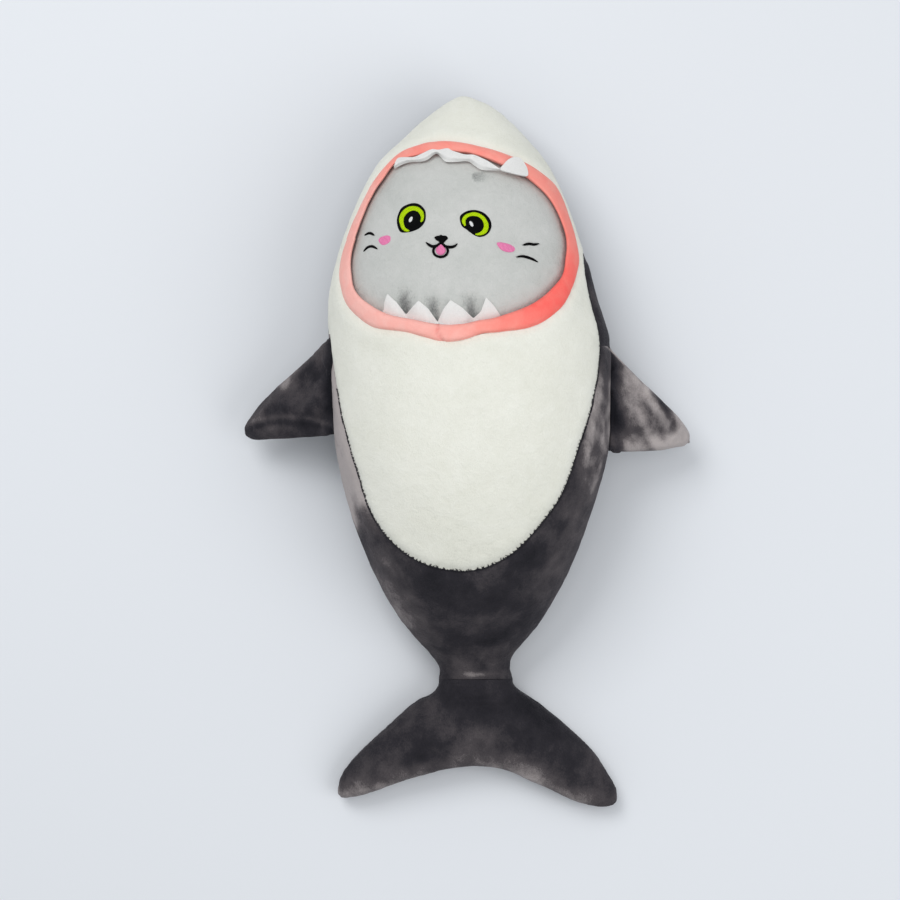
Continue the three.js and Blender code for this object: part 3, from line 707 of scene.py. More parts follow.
def thread(name, low, high, angle=0.0, pitch=0.55):
    """Satin stitching: glossy threads side by side, `pitch` millimetres apart."""
    nodes = Nodes(name)
    mapping = nodes.add("ShaderNodeMapping")
    mapping.inputs["Rotation"].default_value = (0, 0, angle)
    nodes.link(nodes.place, mapping.inputs["Vector"])
    wave = nodes.add("ShaderNodeTexWave", wave_type="BANDS", bands_direction="X", wave_profile="SIN")
    nodes.link(mapping.outputs[0], wave.inputs["Vector"])
    wave.inputs["Scale"].default_value = 1000 / pitch / 20 * math.pi
    wave.inputs["Distortion"].default_value = 1.2
    wave.inputs["Detail Scale"].default_value = 2.0
    ridges = wave.outputs["Fac"]
    slubs = nodes.noise(1.4, 2, 0.5)
    nodes.bump([(ridges, 0.25), (slubs, 0.12)])
    tone = nodes.math("MULTIPLY_ADD", ridges, 0.55, nodes.math("MULTIPLY", slubs, 0.5), clamp=True)
    base = nodes.ramp(tone, [(0.1, low), (0.85, high)])
    return nodes.finish(base, 0.65, 0.0, 0.5, specular=0.06)


MATERIALS = dict(
    white_plush=pale_plush("white_plush", colour(226, 226, 214), colour(238, 238, 229), colour(196, 196, 184),
                           0.12),
    grey_plush=pale_plush(
        "grey_plush", colour(190, 192, 188), colour(208, 208, 205), colour(112, 114, 113), 0.1,
    ),
    dark_plush=dark_plush(),
    coral_plush=coral_plush(),
    white_felt=felt("white_felt", colour(220, 219, 216), colour(240, 240, 238)),
    black_thread=thread("black_thread", colour(1, 1, 2), colour(9, 9, 10), 0.9),
    green_thread=thread("green_thread", colour(126, 164, 8), colour(206, 240, 14), -0.5),
    white_thread=thread("white_thread", colour(205, 208, 205), colour(240, 240, 240), 0.3, 0.5),
    pink_thread=thread("pink_thread", colour(214, 92, 150), colour(242, 150, 190), 0.2),
)


def skin_piece(name, points, triangles, normals, slot, nodes, values=None, depth=SKIN):
    """A sewn panel with its cloth thickness. It stands for its own CAD node and any filling behind it."""
    closed, faces, rim = shell(points, triangles, depth, normals)
    made = make(name, closed, faces, slot, sharp=rim, values=values)
    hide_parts(*nodes)
    return made


# ---------------------------------------------------------------- body

STATIONS = 300
AROUND = 300

t = np.linspace(0, 1, STATIONS)
station_y = TAIL_SEAM + (NOSE - TAIL_SEAM) * (0.45 * t + 0.55 * (1 - np.cos(math.pi * t)) / 2)
phi = np.arange(AROUND) * 2 * math.pi / AROUND


def body_points():
    """Points of the body's skin: one ring per station, from the left seam over the front and back behind."""
    left, right, seam, rise, drop = (v[:, None] for v in read_rows(BODY, station_y).T)
    u = -np.cos(phi)[None, :]
    x = (left + right) / 2 + (right - left) / 2 * u
    y = np.repeat(station_y[:, None], AROUND, 1)
    back = np.maximum(seam - drop * dome(u), floor_under(x, y))
    z = np.where(np.sin(phi)[None, :] >= 0, seam + rise * dome(u), back)
    z[:, 0] = z[:, AROUND // 2] = seam[:, 0]
    return np.stack([x, y, z], -1)


ring = body_points()
tube = ring.reshape(-1, 3)
tube_faces = grid_triangles(STATIONS, AROUND, wrap=True)
tube_normals = vertex_normals(tube, tube_faces)
if (tube_normals[tube[:, 2].argmax(), 2]) < 0:
    tube_faces = tube_faces[:, ::-1]
    tube_normals = -tube_normals
half = AROUND // 2
front_columns = np.arange(half + 1)

belly_line = curve(BELLY_EDGE, 500)
belly_outline = np.vstack([belly_line, [(260, 190), (260, 420), (-260, 420), (-260, 99)]])


def on_front(line):
    """A plan line laid on the front skin."""
    line = np.asarray(line, float)
    return np.column_stack([line, front_height(line[:, 0], line[:, 1])])


seams = Seams()
seams.add(ring[:, 0], 1.1)
right_edge = ring[:, half]
seams.add(right_edge[right_edge[:, 1] < FIN_LINE], 1.1)
seams.add(right_edge[right_edge[:, 1] > 172], 1.1)
seams.add(on_front(belly_line), 1.7)
seams.add(on_front(lip_outer), 1.8)
seams.add(ring[:, half + half // 2], 1.6)
seams.add(np.vstack([ring[0], ring[0, :1]]), TAIL_GROOVE)
seams.add(on_front([(108, FIN_LINE), (119.5, FIN_LINE)]), 1.6)


def body_relief(points):
    """How far the stuffed skin stands in or out: slack dents, crush marks and the sewn grooves."""
    dents = 0.9 * noise(points, 62, 11) + 0.45 * noise(points, 26, 12) + 0.14 * noise(points, 9, 13)
    soft = smoothstep(0, 14, points[:, 2])
    return dents * soft - seams.sink(points) * np.maximum(soft, 0.3)


def settled(points, normals):
    """Displaced points, kept above the floor."""
    moved = points + normals * body_relief(points)[:, None]
    moved[:, 2] = np.maximum(moved[:, 2], 0.02)
    return moved


def strip(columns):
    """The body's skin between two columns, as data (points and normals) and triangles."""
    index = (np.arange(STATIONS)[:, None] * AROUND + columns[None, :]).reshape(-1)
    faces = grid_triangles(STATIONS, len(columns))
    data = np.hstack([tube[index], tube_normals[index]])
    a, b, c = (data[faces[:, k], :3] for k in range(3))
    outward = np.cross(b - a, c - a) * data[faces[:, 0], 3:]
    return data, faces if outward.sum() > 0 else faces[:, ::-1]


def body_panel(name, data, triangles, slot, nodes, shade=None):
    data, triangles = compact(data, triangles)
    points = settled(data[:, :3], data[:, 3:])
    normals = vertex_normals(points, triangles)
    values = {"shade": shade(points) if shade else np.zeros(len(points))}
    made = skin_piece(name, points, triangles, normals, slot, nodes, values)
    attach(made, "body")
    return made


# Where a painted highlight runs along the right fin's top seam, on the body and on the fin.
SEAM_HIGHLIGHT_LINE = along(np.array([(109.0, 91.5), (121.0, 83.5), (131.0, 74.5)]), np.linspace(0, 1, 60))


def dark_shade(points):
    """Tone of the dark plush on the body: broad nap bands, painted highlights up the sides beside the belly
    (stronger on the left), along the right fin's top seam and just before the tail seam, and a lighter patch
    low on the left side.
    """
    x, y, z = points.T
    left, right, _, _, _ = np.moveaxis(read_rows(BODY, y), -1, 0)
    u = (2 * x - left - right) / (right - left)
    patches = noise(points * [1, 0.7, 1], 34, 71)
    up_the_side = smoothstep(0.72, 0.86, np.abs(u))
    # Painted highlight up the sides beside the belly; it is painted stronger on the left, and the crushed nap
    # marks lie only within it.
    side_highlight = smoothstep(-78, -18, y + 26 * patches - np.where(x > 0, 22, 0)) * up_the_side
    side_highlight *= 1 - np.where(x > 0, 0.85, 0.3) * smoothstep(52, 88, y)
    lower_left = 0.34 * np.exp(-(((u + 0.93) / 0.24) ** 2)) * np.exp(-(((y + 130) / 34) ** 2))
    # Painted highlight along the right fin's top seam.
    seam_highlight = 0.5 * np.exp(-((line_distance(SEAM_HIGHLIGHT_LINE, x, y) / 1.1) ** 2)) * smoothstep(70, 82, z)
    # Painted highlight on the body just before the tail seam.
    stalk_highlight = 0.34 * np.exp(-(((x - 9) / 13) ** 2) - ((y + 188.5) / 2.6) ** 2) * smoothstep(20, 40, z)
    slant = np.column_stack([x + 0.6 * y, y - 0.6 * x, z])
    bands = 0.17 * noise(slant * [0.5, 1, 1], 24, 72) + 0.1 * noise(points, 10, 73)
    left_more = np.where(x < 0, 0.34, 0) * side_highlight
    crushed = 0.16 * noise(slant * [1, 0.3, 1], 6, 84) * side_highlight
    return 0.34 + 0.5 * side_highlight + left_more + lower_left + stalk_highlight + bands + seam_highlight + crushed


def back_shade(points):
    """The back's own lie of the nap: broad soft bands."""
    x, y, z = points.T
    slant = np.column_stack([x - 0.5 * y, y, z])
    return 0.36 + 0.22 * noise(slant * [0.6, 1, 1], 38, 81) + 0.1 * noise(points, 13, 82)


front, front_faces = strip(front_columns)
front, _, front_faces = cut(front, front_faces, signed_distance(lip_outer, front[:, 0], front[:, 1]))
front, belly_faces, front_faces = cut(front, front_faces,
                                      signed_distance(belly_outline, front[:, 0], front[:, 1]))
front, wrapped_faces, lower_faces = cut(front, front_faces, front[:, 1] - FIN_LINE)
left_sliver = front[wrapped_faces[:, 0], 0] < 0
lower_faces = np.concatenate([lower_faces, wrapped_faces[left_sliver]])
wrapped_faces = wrapped_faces[~left_sliver]

body_panel("belly_panel", front, belly_faces, "white_plush", ["belly_panel", "body_filling"],
           lambda p: -0.1 * (1 - smoothstep(-90, 20, p[:, 1])))
body_panel("lower_front_panel", front, lower_faces, "dark_plush", ["lower_front_panel"], dark_shade)

right_data, right_faces = strip(np.arange(half, half + half // 2 + 1))
joined = np.vstack([right_data, front])
joined_faces = np.concatenate([right_faces, wrapped_faces + len(right_data)])
body_panel("back_panel_right", joined, joined_faces, "dark_plush", ["back_panel_right"], back_shade)
left_data, left_faces = strip(np.concatenate([np.arange(half + half // 2, AROUND), [0]]))
body_panel("back_panel_left", left_data, left_faces, "dark_plush", ["back_panel_left"], back_shade)


# ---------------------------------------------------------------- stuffed fins and tail

def lens(rows, around=64, per_row=7):
    """A closed lens-shaped solid from rows of (x1, y1, x2, y2, height, half above, half below)."""
    keyed = np.column_stack([np.arange(len(rows)), np.array(rows, float)])
    at = np.linspace(0, len(rows) - 1, (len(rows) - 1) * per_row + 1)
    x1, y1, x2, y2, z, above, below = (v[:, None] for v in read_rows(keyed, at).T)
    turn = np.arange(around) * 2 * math.pi / around
    u = -np.cos(turn)[None, :]
    share = (u + 1) / 2
    thick = np.where(np.sin(turn)[None, :] >= 0, above, -below) * dome(u)
    points = np.stack([x1 + (x2 - x1) * share, y1 + (y2 - y1) * share, z + thick], -1).reshape(-1, 3)
    last = len(points)
    ends = np.array([points[:around].mean(0), points[-around:].mean(0)])
    faces = []
    for row in range(len(at) - 1):
        for k in range(around):
            a, b = row * around + k, row * around + (k + 1) % around
            faces.append((a, b, b + around, a + around))
    for k in range(around):
        nxt = (k + 1) % around
        faces.append((last, nxt, k))
        faces.append((last + 1, k + last - around, nxt + last - around))
    return np.vstack([points, ends]), faces


def even_rows(rows):
    """Fin rows with the same thickness above and below."""
    return [(*row, row[-1]) for row in rows]


def blank_of(parts, voxel):
    """An object made of closed solids; with a voxel size, their union as one even mesh."""
    mesh = bpy.data.meshes.new("blank")
    points, faces, offset = [], [], 0
    for p, f in parts:
        points.append(p)
        faces.extend([tuple(int(k) + offset for k in face) for face in f])
        offset += len(p)
    mesh.from_pydata(metres(np.vstack(points)).tolist(), [], faces)
    blank = bpy.data.objects.new("blank", mesh)
    bpy.context.scene.collection.objects.link(blank)
    if voxel is None:
        return blank
    remesh = blank.modifiers.new("remesh", "REMESH")
    remesh.mode = "VOXEL"
    remesh.voxel_size = voxel / 1000
    return applied(blank)


def applied(blank):
    """The object with its modifiers applied, as a plain mesh object; the old one is removed."""
    graph = bpy.context.evaluated_depsgraph_get()
    mesh = bpy.data.meshes.new_from_object(blank.evaluated_get(graph))
    made = bpy.data.objects.new("blank", mesh)
    bpy.context.scene.collection.objects.link(made)
    bpy.data.objects.remove(blank)
    return made


def read_mesh(blank):
    """Design-frame points and triangles of an object's mesh."""
    mesh = blank.data
    mesh.calc_loop_triangles()
    points = np.zeros(len(mesh.vertices) * 3)
    mesh.vertices.foreach_get("co", points)
    triangles = np.zeros(len(mesh.loop_triangles) * 3, np.int64)
    mesh.loop_triangles.foreach_get("vertices", triangles)
    return points.reshape(-1, 3) * 1000 - SHIFT, triangles.reshape(-1, 3)


def puffed(blank, held, cap):
    """Blows the cloth up from inside with its held points fixed; no point moves further than `cap`."""
    points, _ = read_mesh(blank)
    group = blank.vertex_groups.new(name="held")
    group.add(np.flatnonzero(held(points)).tolist(), 1.0, "REPLACE")
    cloth = blank.modifiers.new("cloth", "CLOTH")
    cloth.settings.quality = 6
    cloth.settings.mass = 0.3
    cloth.settings.use_pressure = True
    cloth.settings.uniform_pressure_force = 4
    cloth.settings.bending_stiffness = 0.6
    cloth.settings.shrink_min = -0.03
    cloth.settings.vertex_group_mass = "held"
    cloth.settings.effector_weights.gravity = 0
    cloth.collision_settings.use_collision = False
    cloth.point_cache.frame_start = 1
    cloth.point_cache.frame_end = 20
    scene = bpy.context.scene
    for number in range(1, 21):
        scene.frame_set(number)
    blank = applied(blank)
    scene.frame_set(1)
    after, _ = read_mesh(blank)
    move = after - points
    far = np.linalg.norm(move, axis=1, keepdims=True)
    move *= np.minimum(1, cap / np.maximum(far, 1e-9))
    blank.data.vertices.foreach_set("co", metres(points + move).ravel())
    blank.data.update()
    return blank


def stuffed(parts, voxel, held, cap, melt=2):
    """A stuffed shape: even mesh, cloth blown up from inside, then softened and made finer."""
    blank = blank_of(parts, voxel)
    blank = puffed(blank, held, cap)
    if melt:
        smooth = blank.modifiers.new("melt", "SMOOTH")
        smooth.factor = 0.5
        smooth.iterations = melt
    finer = blank.modifiers.new("finer", "SUBSURF")
    finer.subdivision_type = "CATMULL_CLARK"
    finer.levels = 1
    blank = applied(blank)
    points, triangles = read_mesh(blank)
    bpy.data.objects.remove(blank)
    return points, triangles


def stuffed_pair(name, solid, seam_height, edge_depth, slot, shade,
                 extra=(), keep=None, creases=None, end_match=None):
    """A stuffed part sewn from a front and a back panel that meet on its edge seam."""
    points, triangles = solid
    data = np.hstack([points, vertex_normals(points, triangles)])
    if keep is not None:
        data, triangles, _ = cut(data, triangles, keep(data[:, 0], data[:, 1]))
        data, triangles = compact(data, triangles)
    level = data[:, 2] - seam_height(data[:, 0], data[:, 1])
    first_new = len(data)
    data, upper, lower = cut(data, triangles, level)
    sewn = Seams()
    rim = data[first_new:, :3]
    sewn.points.extend(rim.tolist())
    sewn.runs.extend((rim[:, 0] + rim[:, 1]).tolist())
    sewn.depths.extend([edge_depth] * len(rim))
    for line, depth in extra:
        sewn.add(line, depth)
    base, normals = data[:, :3], data[:, 3:]
    relief = 0.8 * noise(base, 38, 21) + 0.45 * noise(base, 17, 22) + 0.12 * noise(base, 7, 23)
    if creases is not None:
        relief = relief + creases(base)
    relief = relief - sewn.sink(base, width=3.2, pucker=0.45, pitch=5.5)
    moved = base + normals * relief[:, None]
    if end_match is not None:
        moved = end_match(moved)
    moved[:, 2] = np.maximum(moved[:, 2], 0.05)
    for side, faces in (("front", upper), ("back", lower)):
        panel, panel_faces = compact(np.hstack([moved, data[:, 3:]]), faces)
        surface = panel[:, :3]
        node = f"{name}_{side}_panel"
        made = skin_piece(node, surface, panel_faces, vertex_normals(surface, panel_faces), slot,
                          [node, f"{name}_filling"] if side == "front" else [node],
                          {"shade": shade(surface)}, depth=1.2)
        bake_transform(made)


def near_rows(rows, margin):
    """A test for points close to a fin's edge lines or its root."""
    lines = np.vstack([
        along(np.array([(r[0], r[1]) for r in rows], float), np.linspace(0, 1, 80)),
        along(np.array([(r[2], r[3]) for r in rows], float), np.linspace(0, 1, 80)),
        along(np.array([(rows[1][0], rows[1][1]), (rows[1][2], rows[1][3])], float), np.linspace(0, 1, 60)),
    ])
    return lambda p: line_distance(lines, p[:, 0], p[:, 1]) < margin


def fin_seam_height(rows):
    """The height of a fin's edge seam by its distance out along X."""
    table = np.array([((r[0] + r[2]) / 2, r[4]) for r in rows], float)
    table = table[np.argsort(table[:, 0])]
    return lambda x, y: np.interp(x, table[:, 0], table[:, 1])


def root_line(rows, count=40):
    """The line where a fin is sewn to the body."""
    row = rows[1]
    share = np.linspace(0, 1, count)[:, None]
    a, b = np.array([row[0], row[1], row[4]]), np.array([row[2], row[3], row[4]])
    return a + (b - a) * share


def side_fin(name, rows, shade, creases):
    stuffed_pair(
        name,
        stuffed([lens(even_rows(rows))], None, near_rows(rows, 3.5), 4.0, melt=0),
        fin_seam_height(rows), 0.7, "dark_plush", shade,
        extra=[(root_line(rows), 2.0)],
        creases=creases,
    )


def left_fin_shade(p):
    """Mid grey with cloudy marks, a painted shadow along the root, and a painted highlight over a painted
    shadow along a line by its rear edge.
    """
    x, y, _ = p.T
    # Painted shadow along the root, where the fin tucks under the body.
    root = -0.42 * smoothstep(-123, -114, x)
    # Painted shadow just below this line and a painted highlight just above it.
    fold_y = 22 + 7 * np.sin((x + 190) / 24)
    below = -0.13 * np.exp(-(((y - fold_y + 4) / 2.6) ** 2))
    above = 0.13 * np.exp(-(((y - fold_y - 1) / 2.2) ** 2))
    marks = 0.17 * noise(p * [1, 1, 0], 19, 74) + 0.12 * noise(p, 7, 75)
    leading = 0.14 * smoothstep(-6, 1, y - 95 - (x + 115) * 1.04)
    tip = -0.14 * (1 - smoothstep(-184, -156, x))
    return 0.42 + root + below + above + marks + leading + tip


def right_fin_shade(p):
    """Light crushed nap with dark streaks slanting from the root towards the tip, a painted shadow at the
    root, and painted highlights on the tip, the rear edge and the top seam.
    """
    x, y, _ = p.T
    # Painted shadow at the root, where the fin comes out from under the body.
    root = -0.6 * (1 - smoothstep(118, 137, x + 0.14 * (y - 40)))
    across = np.column_stack([0.28 * (0.55 * x - 0.83 * y), 0.83 * x + 0.55 * y, 0 * x])
    streaks = 0.25 * noise(across, 8, 76) + 0.1 * noise(p, 6, 77)
    # Painted highlight on the tip and along the rear edge.
    tip = 0.22 * smoothstep(160, 185, x) + 0.16 * (1 - smoothstep(2, 22, y))
    dark_band = -0.34 * np.exp(-(((x - 169 + 0.45 * (y - 30)) / 5) ** 2)) * smoothstep(10, 24, y)
    # Painted highlight along the top seam.
    seam_highlight = 0.8 * np.exp(-((line_distance(SEAM_HIGHLIGHT_LINE, x, y) / 1.2) ** 2))
    return 0.74 + 1.2 * root + 1.0 * streaks + 1.7 * tip + 0.8 * dark_band + seam_highlight


def fan_creases(rows, origin, seed, depth):
    """Soft folds that fan out from a point on the root and stop short of the edge seams."""
    edges = np.vstack([
        along(np.array([(r[0], r[1]) for r in rows], float), np.linspace(0, 1, 80)),
        along(np.array([(r[2], r[3]) for r in rows], float), np.linspace(0, 1, 80)),
    ])

    def creases(p):
        angle = np.arctan2(p[:, 1] - origin[1], np.abs(p[:, 0] - origin[0]) + 1e-6)
        reach = np.hypot(p[:, 0] - origin[0], p[:, 1] - origin[1])
        place = np.column_stack([angle * 30, reach * 0.12, np.zeros(len(p))])
        inner = 1 - np.exp(-((line_distance(edges, p[:, 0], p[:, 1]) / 7) ** 2))
        near_root = smoothstep(2, 14, reach) * (1 - smoothstep(40, 66, reach))
        return depth * noise(place, 7, seed) * inner * near_root
    return creases


side_fin("left_fin", LEFT_FIN, left_fin_shade, fan_creases(LEFT_FIN, (-116, 62), 31, 1.5))
side_fin("right_fin", RIGHT_FIN, right_fin_shade, fan_creases(RIGHT_FIN, (118, 60), 32, 1.8))

stuffed_pair(
    "back_fin", stuffed([lens(even_rows(BACK_FIN))], None, near_rows(BACK_FIN, 3.0), 1.0, melt=0),
    fin_seam_height(BACK_FIN), 0.5, "dark_plush", lambda p: 0.35 + 0.1 * noise(p, 22, 80),
    extra=[(root_line(BACK_FIN), 0.8)],
)

tail_heights = np.array([(r[0], r[3]) for r in TAIL_FIN], float)


def tail_seam_height(x, y):
    flukes = np.interp(x, tail_heights[:, 0], tail_heights[:, 1])
    stalk = smoothstep(-228, -196, y)
    return flukes * (1 - stalk) + 26 * stalk


def tail_shade(p):
    """Near black at the stalk, charcoal on the flukes, with a painted brown highlight along the rear edge."""
    x, y, _ = p.T
    rear = np.interp(x, [r[0] for r in TAIL_FIN], [r[1] for r in TAIL_FIN])
    marks = 0.12 * noise(p * [1, 1, 0], 30, 78) + 0.08 * noise(p, 10, 79)
    # Painted highlight along the rear edge of the flukes, weaker towards the right tip.
    rear_edge_highlight = 0.4 * np.exp(-(((y - rear) / (14 + 20 * marks)) ** 2)) * (0.85 + 0.15 * smoothstep(-40, 60, x))
    stalk = -0.16 * smoothstep(-234, -204, y)
    right_side = -0.08 * smoothstep(40, 70, x) * (1 - smoothstep(96, 116, x))
    rear_edge_highlight *= 1 - 0.7 * smoothstep(96, 114, x)
    tip = -0.08 * smoothstep(104, 118, x)
    left_side = 0.12 * (1 - smoothstep(-70, -40, x))
    return 0.36 + rear_edge_highlight + stalk + right_side + tip + left_side + marks


def tail_creases(p):
    """Gathers where the stalk is sewn to the body, and one long soft fold from each root of the flukes."""
    x, y, _ = p.T
    gather = noise(np.column_stack([x, y * 0.18, np.zeros(len(p))]), 7, 41)
    stalk = 1.1 * gather * smoothstep(-232, -200, y)
    fold = -1.6 * np.exp(-(((y + 226 + 0.32 * np.abs(x - 7)) / 5) ** 2)) * smoothstep(12, 30, np.abs(x - 7)) \
        * (1 - smoothstep(52, 84, np.abs(x - 7)))
    return stalk + fold


GROWN = 1.4  # the even mesh melts this much off a thin edge
end_ring = settled(tube[:AROUND], tube_normals[:AROUND])
END_MIDDLE = (6.7, 26.0)


def match_body_end(p):
    """Draws the tail's sewn end onto the body's end ring, so that the two meet all the way round."""
    ring_x, ring_z = end_ring[:, 0] - END_MIDDLE[0], end_ring[:, 2] - END_MIDDLE[1]
    turn = np.arctan2(ring_z, ring_x)
    order = np.argsort(turn)
    x, z = p[:, 0] - END_MIDDLE[0], p[:, 2] - END_MIDDLE[1]
    wanted = np.interp(np.arctan2(z, x), turn[order], np.hypot(ring_x, ring_z)[order], period=2 * math.pi)
    share = smoothstep(-211, -193.5, p[:, 1])
    scale = 1 + share * (wanted / np.maximum(np.hypot(x, z), 1) - 1)
    return np.column_stack([END_MIDDLE[0] + x * scale, p[:, 1], END_MIDDLE[1] + z * scale])


stalk_lens = [
    (left - GROWN, y, right + GROWN, y, seam, rise, drop)
    for y, left, right, seam, rise, drop in STALK
]
tail_lens = [(x, rear - GROWN, x, front_y + GROWN, z, h, h) for x, rear, front_y, z, h in TAIL_FIN]
tail_lens[0] = (tail_lens[0][0] - GROWN, *tail_lens[0][1:])
tail_lens[-1] = (tail_lens[-1][0] + GROWN, *tail_lens[-1][1:])


def tail_held(p):
    """The tail's edge seam and its sewn end stay still."""
    rear = np.array([(r[0], r[1]) for r in TAIL_FIN], float)
    fore = np.array([(r[0], r[2]) for r in TAIL_FIN], float)
    lines = np.vstack([along(rear, np.linspace(0, 1, 160)), along(fore, np.linspace(0, 1, 160))])
    edge = (line_distance(lines, p[:, 0], p[:, 1]) < 3.5) & ((np.abs(p[:, 0] - 7) > 34) | (p[:, 1] < -262))
    return edge | (p[:, 1] > -200)


stuffed_pair(
    "tail", stuffed([lens(tail_lens), lens(stalk_lens)], 3.2, tail_held, 5.0, melt=6),
    tail_seam_height, 0.9, "dark_plush", tail_shade,
    extra=[(np.vstack([ring[0], ring[0, :1]]), TAIL_GROOVE)],
    keep=lambda x, y: TAIL_SEAM - y, creases=tail_creases, end_match=match_body_end,
)


# ---------------------------------------------------------------- lip and face

angles = np.linspace(-math.pi, math.pi, 720, endpoint=False)


def radius_of(outline):
    """The outline's distance from the middle of the mouth at each angle."""
    away = outline - MOUTH_CENTRE
    turn = np.arctan2(away[:, 1], away[:, 0])
    order = np.argsort(turn)
    return np.interp(angles, turn[order], np.hypot(*away.T)[order], period=2 * math.pi)


# The band's section: share of the way from its outer to its inner edge, and height over the front skin.
LIP_SECTION = [
    (-0.03, -2.4), (0.03, -0.2), (0.14, 1.5), (0.34, 2.2), (0.58, 2.3), (0.8, 1.7), (0.95, 0.2), (1.02, -2.4),
    (1.04, -5.6), (1.0, -8.6), (0.93, -8.2), (0.9, -5.2), (0.78, -2.4), (0.5, -1.2), (0.2, -1.4),
    (0.04, -3.6),
]
JOIN = curve([(-26.5, 106), (-24.9, 102.2), (-26.1, 98.1), (-24.1, 93.4), (-20, 89)], 60)


def lip_band():
    """The padded band around the mouth."""
    section = curve(LIP_SECTION, 56, closed=True)
    share, rise = section[:, 0][None, :], section[:, 1][None, :]
    outer, inner = radius_of(lip_outer)[:, None], radius_of(lip_inner)[:, None]
    run = np.concatenate([[0], np.cumsum(np.hypot(*np.diff(lip_outer, axis=0).T))])[-1] / len(angles)
    run = (np.arange(len(angles)) * run)[:, None]
    place = np.stack([run + 0 * share, 9 * share + 0 * run, 0 * run * share], -1).reshape(-1, 3)
    gather = (0.5 * noise(place, 7, 51) + 0.35 * noise(place, 16, 52)).reshape(len(angles), -1)
    rise = rise + gather * np.where(rise > -2, 1, 0.3)
    r = outer + (inner - outer) * share + 0.5 * noise(place, 13, 53).reshape(gather.shape)
    x = MOUTH_CENTRE[0] + r * np.cos(angles)[:, None]
    y = MOUTH_CENTRE[1] + r * np.sin(angles)[:, None]
    seam = np.exp(-((line_distance(JOIN, x, y) / 1.3) ** 2)) * (rise > -2)
    z = front_height(x, y) + rise - 1.3 * seam
    points = np.stack([x, y, z], -1).reshape(-1, 3)
    faces = grid_triangles(len(angles), section.shape[0], wrap=True)
    k = np.arange(section.shape[0])
    last = (len(angles) - 1) * section.shape[0]
    nxt = (k + 1) % section.shape[0]
    close = np.concatenate([np.stack([last + k, last + nxt, nxt], 1), np.stack([last + k, nxt, k], 1)])
    faces = np.concatenate([faces, close])
    normals = vertex_normals(points, faces)
    top = points[:, 2].argmax()
    if normals[top, 2] < 0:
        faces = faces[:, ::-1]
    deep = 0.5 + 0.5 * np.cos(angles - math.radians(-34))
    # Tone round the band, part the fabric's own and part painted light and shade: paler on the left, deepest
    # on the lower right.
    round_lip = np.radians([-180, -150, -120, -95, -75, -50, -25, 0, 30, 60, 90, 120, 150, 180])
    tones = [0.12, 0.05, 0.1, 0.22, 0.42, 0.8, 0.95, 0.66, 0.5, 0.42, 0.5, 0.5, 0.2, 0.12]
    tone = np.repeat(np.interp(angles, round_lip, tones), section.shape[0])
    # Painted shadow on the band's inner wall, strongest towards the lower right.
    dark = np.clip(1 - smoothstep(-7, -1.5, rise), 0, 1) * (0.35 + 0.4 * deep[:, None])
    made = make("lip_band", points, faces, "coral_plush",
                values={"tone": tone, "shade": (dark + 0.25 * seam).reshape(-1)})
    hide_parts("lip_band")
    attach(made, "body")


def face_panel():
    """The face panel inside the lip band."""
    step = 1.8
    xs = np.arange(-112, 100, step)
    ys = np.arange(92, 262, step)
    gx, gy = np.meshgrid(xs, ys, indexing="ij")
    points = np.column_stack([gx.ravel(), gy.ravel(), np.zeros(gx.size)])
    faces = grid_triangles(len(xs), len(ys))
    level = signed_distance(lip_inner, points[:, 0], points[:, 1]) + 2.4
    points, faces, _ = cut(points, faces, level)
    points, faces = compact(points, faces)
    points[:, 2] = face_height(points[:, 0], points[:, 1])
    points[:, 2] += 0.5 * noise(points, 34, 61) + 0.12 * noise(points, 8, 62)
    edge = np.maximum(signed_distance(lip_inner, points[:, 0], points[:, 1]), 0)
    spokes = np.arctan2(points[:, 1] - MOUTH_CENTRE[1], points[:, 0] - MOUTH_CENTRE[0])
    place = np.column_stack([np.cos(spokes) * 90, np.sin(spokes) * 90, edge * 0.2])
    points[:, 2] += 0.5 * noise(place, 8, 63) * np.exp(-edge / 10)
    normals = vertex_normals(points, faces)
    if normals[:, 2].sum() < 0:
        faces = faces[:, ::-1]
        normals = -normals
    # Painted shadow of an upper tooth in the small triangle, darkest towards its left.
    fold = smoothstep(-0.8, 0.8, signed_distance(curve(TOOTH_SHADOW, 200, closed=True), points[:, 0], points[:, 1]))
    fold *= 0.13 + 0.15 * (1 - smoothstep(4, 22, points[:, 0]))
    # Painted shade: darker along the lip's inner edge and in the hollows between the lower teeth.
    shade = -0.28 * np.exp(-edge / 4) - 0.42 * hollow(points[:, 0], points[:, 1]) - fold
    made = skin_piece("cat_face_panel", points, faces, normals, "grey_plush", ["cat_face_panel"],
                      {"shade": shade})
    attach(made, "body")


lip_band()
face_panel()


# ---------------------------------------------------------------- embroidery and felt on the face

def patch(name, outline, rise, slot, rings=7, count=90):
    """An embroidered patch: a closed outline filled and crowned, standing `rise` millimetres off the face."""
    line = curve(outline, count, closed=True)
    centre = line.mean(0)
    shares = np.linspace(0, 1, rings + 1)[1:]
    across = np.concatenate([centre + (line - centre) * s for s in shares])
    crown = np.concatenate([np.full(count, rise * (1 - s**4) + 0.15) for s in shares])
    xy = np.vstack([centre, across])
    top = np.column_stack([xy, face_height(xy[:, 0], xy[:, 1]) + np.concatenate([[rise + 0.15], crown])])
    k = np.arange(count)
    nxt = (k + 1) % count
    faces = [np.stack([np.zeros(count, int), 1 + k, 1 + nxt], 1)]
    for ring_number in range(rings - 1):
        a, b = 1 + ring_number * count + k, 1 + ring_number * count + nxt
        faces.append(np.stack([a, a + count, b + count], 1))
        faces.append(np.stack([a, b + count, b], 1))
    faces = np.concatenate(faces)
    if vertex_normals(top, faces)[:, 2].sum() < 0:
        faces = faces[:, ::-1]
    return finish_trim(name, top, faces, slot, 0.9)


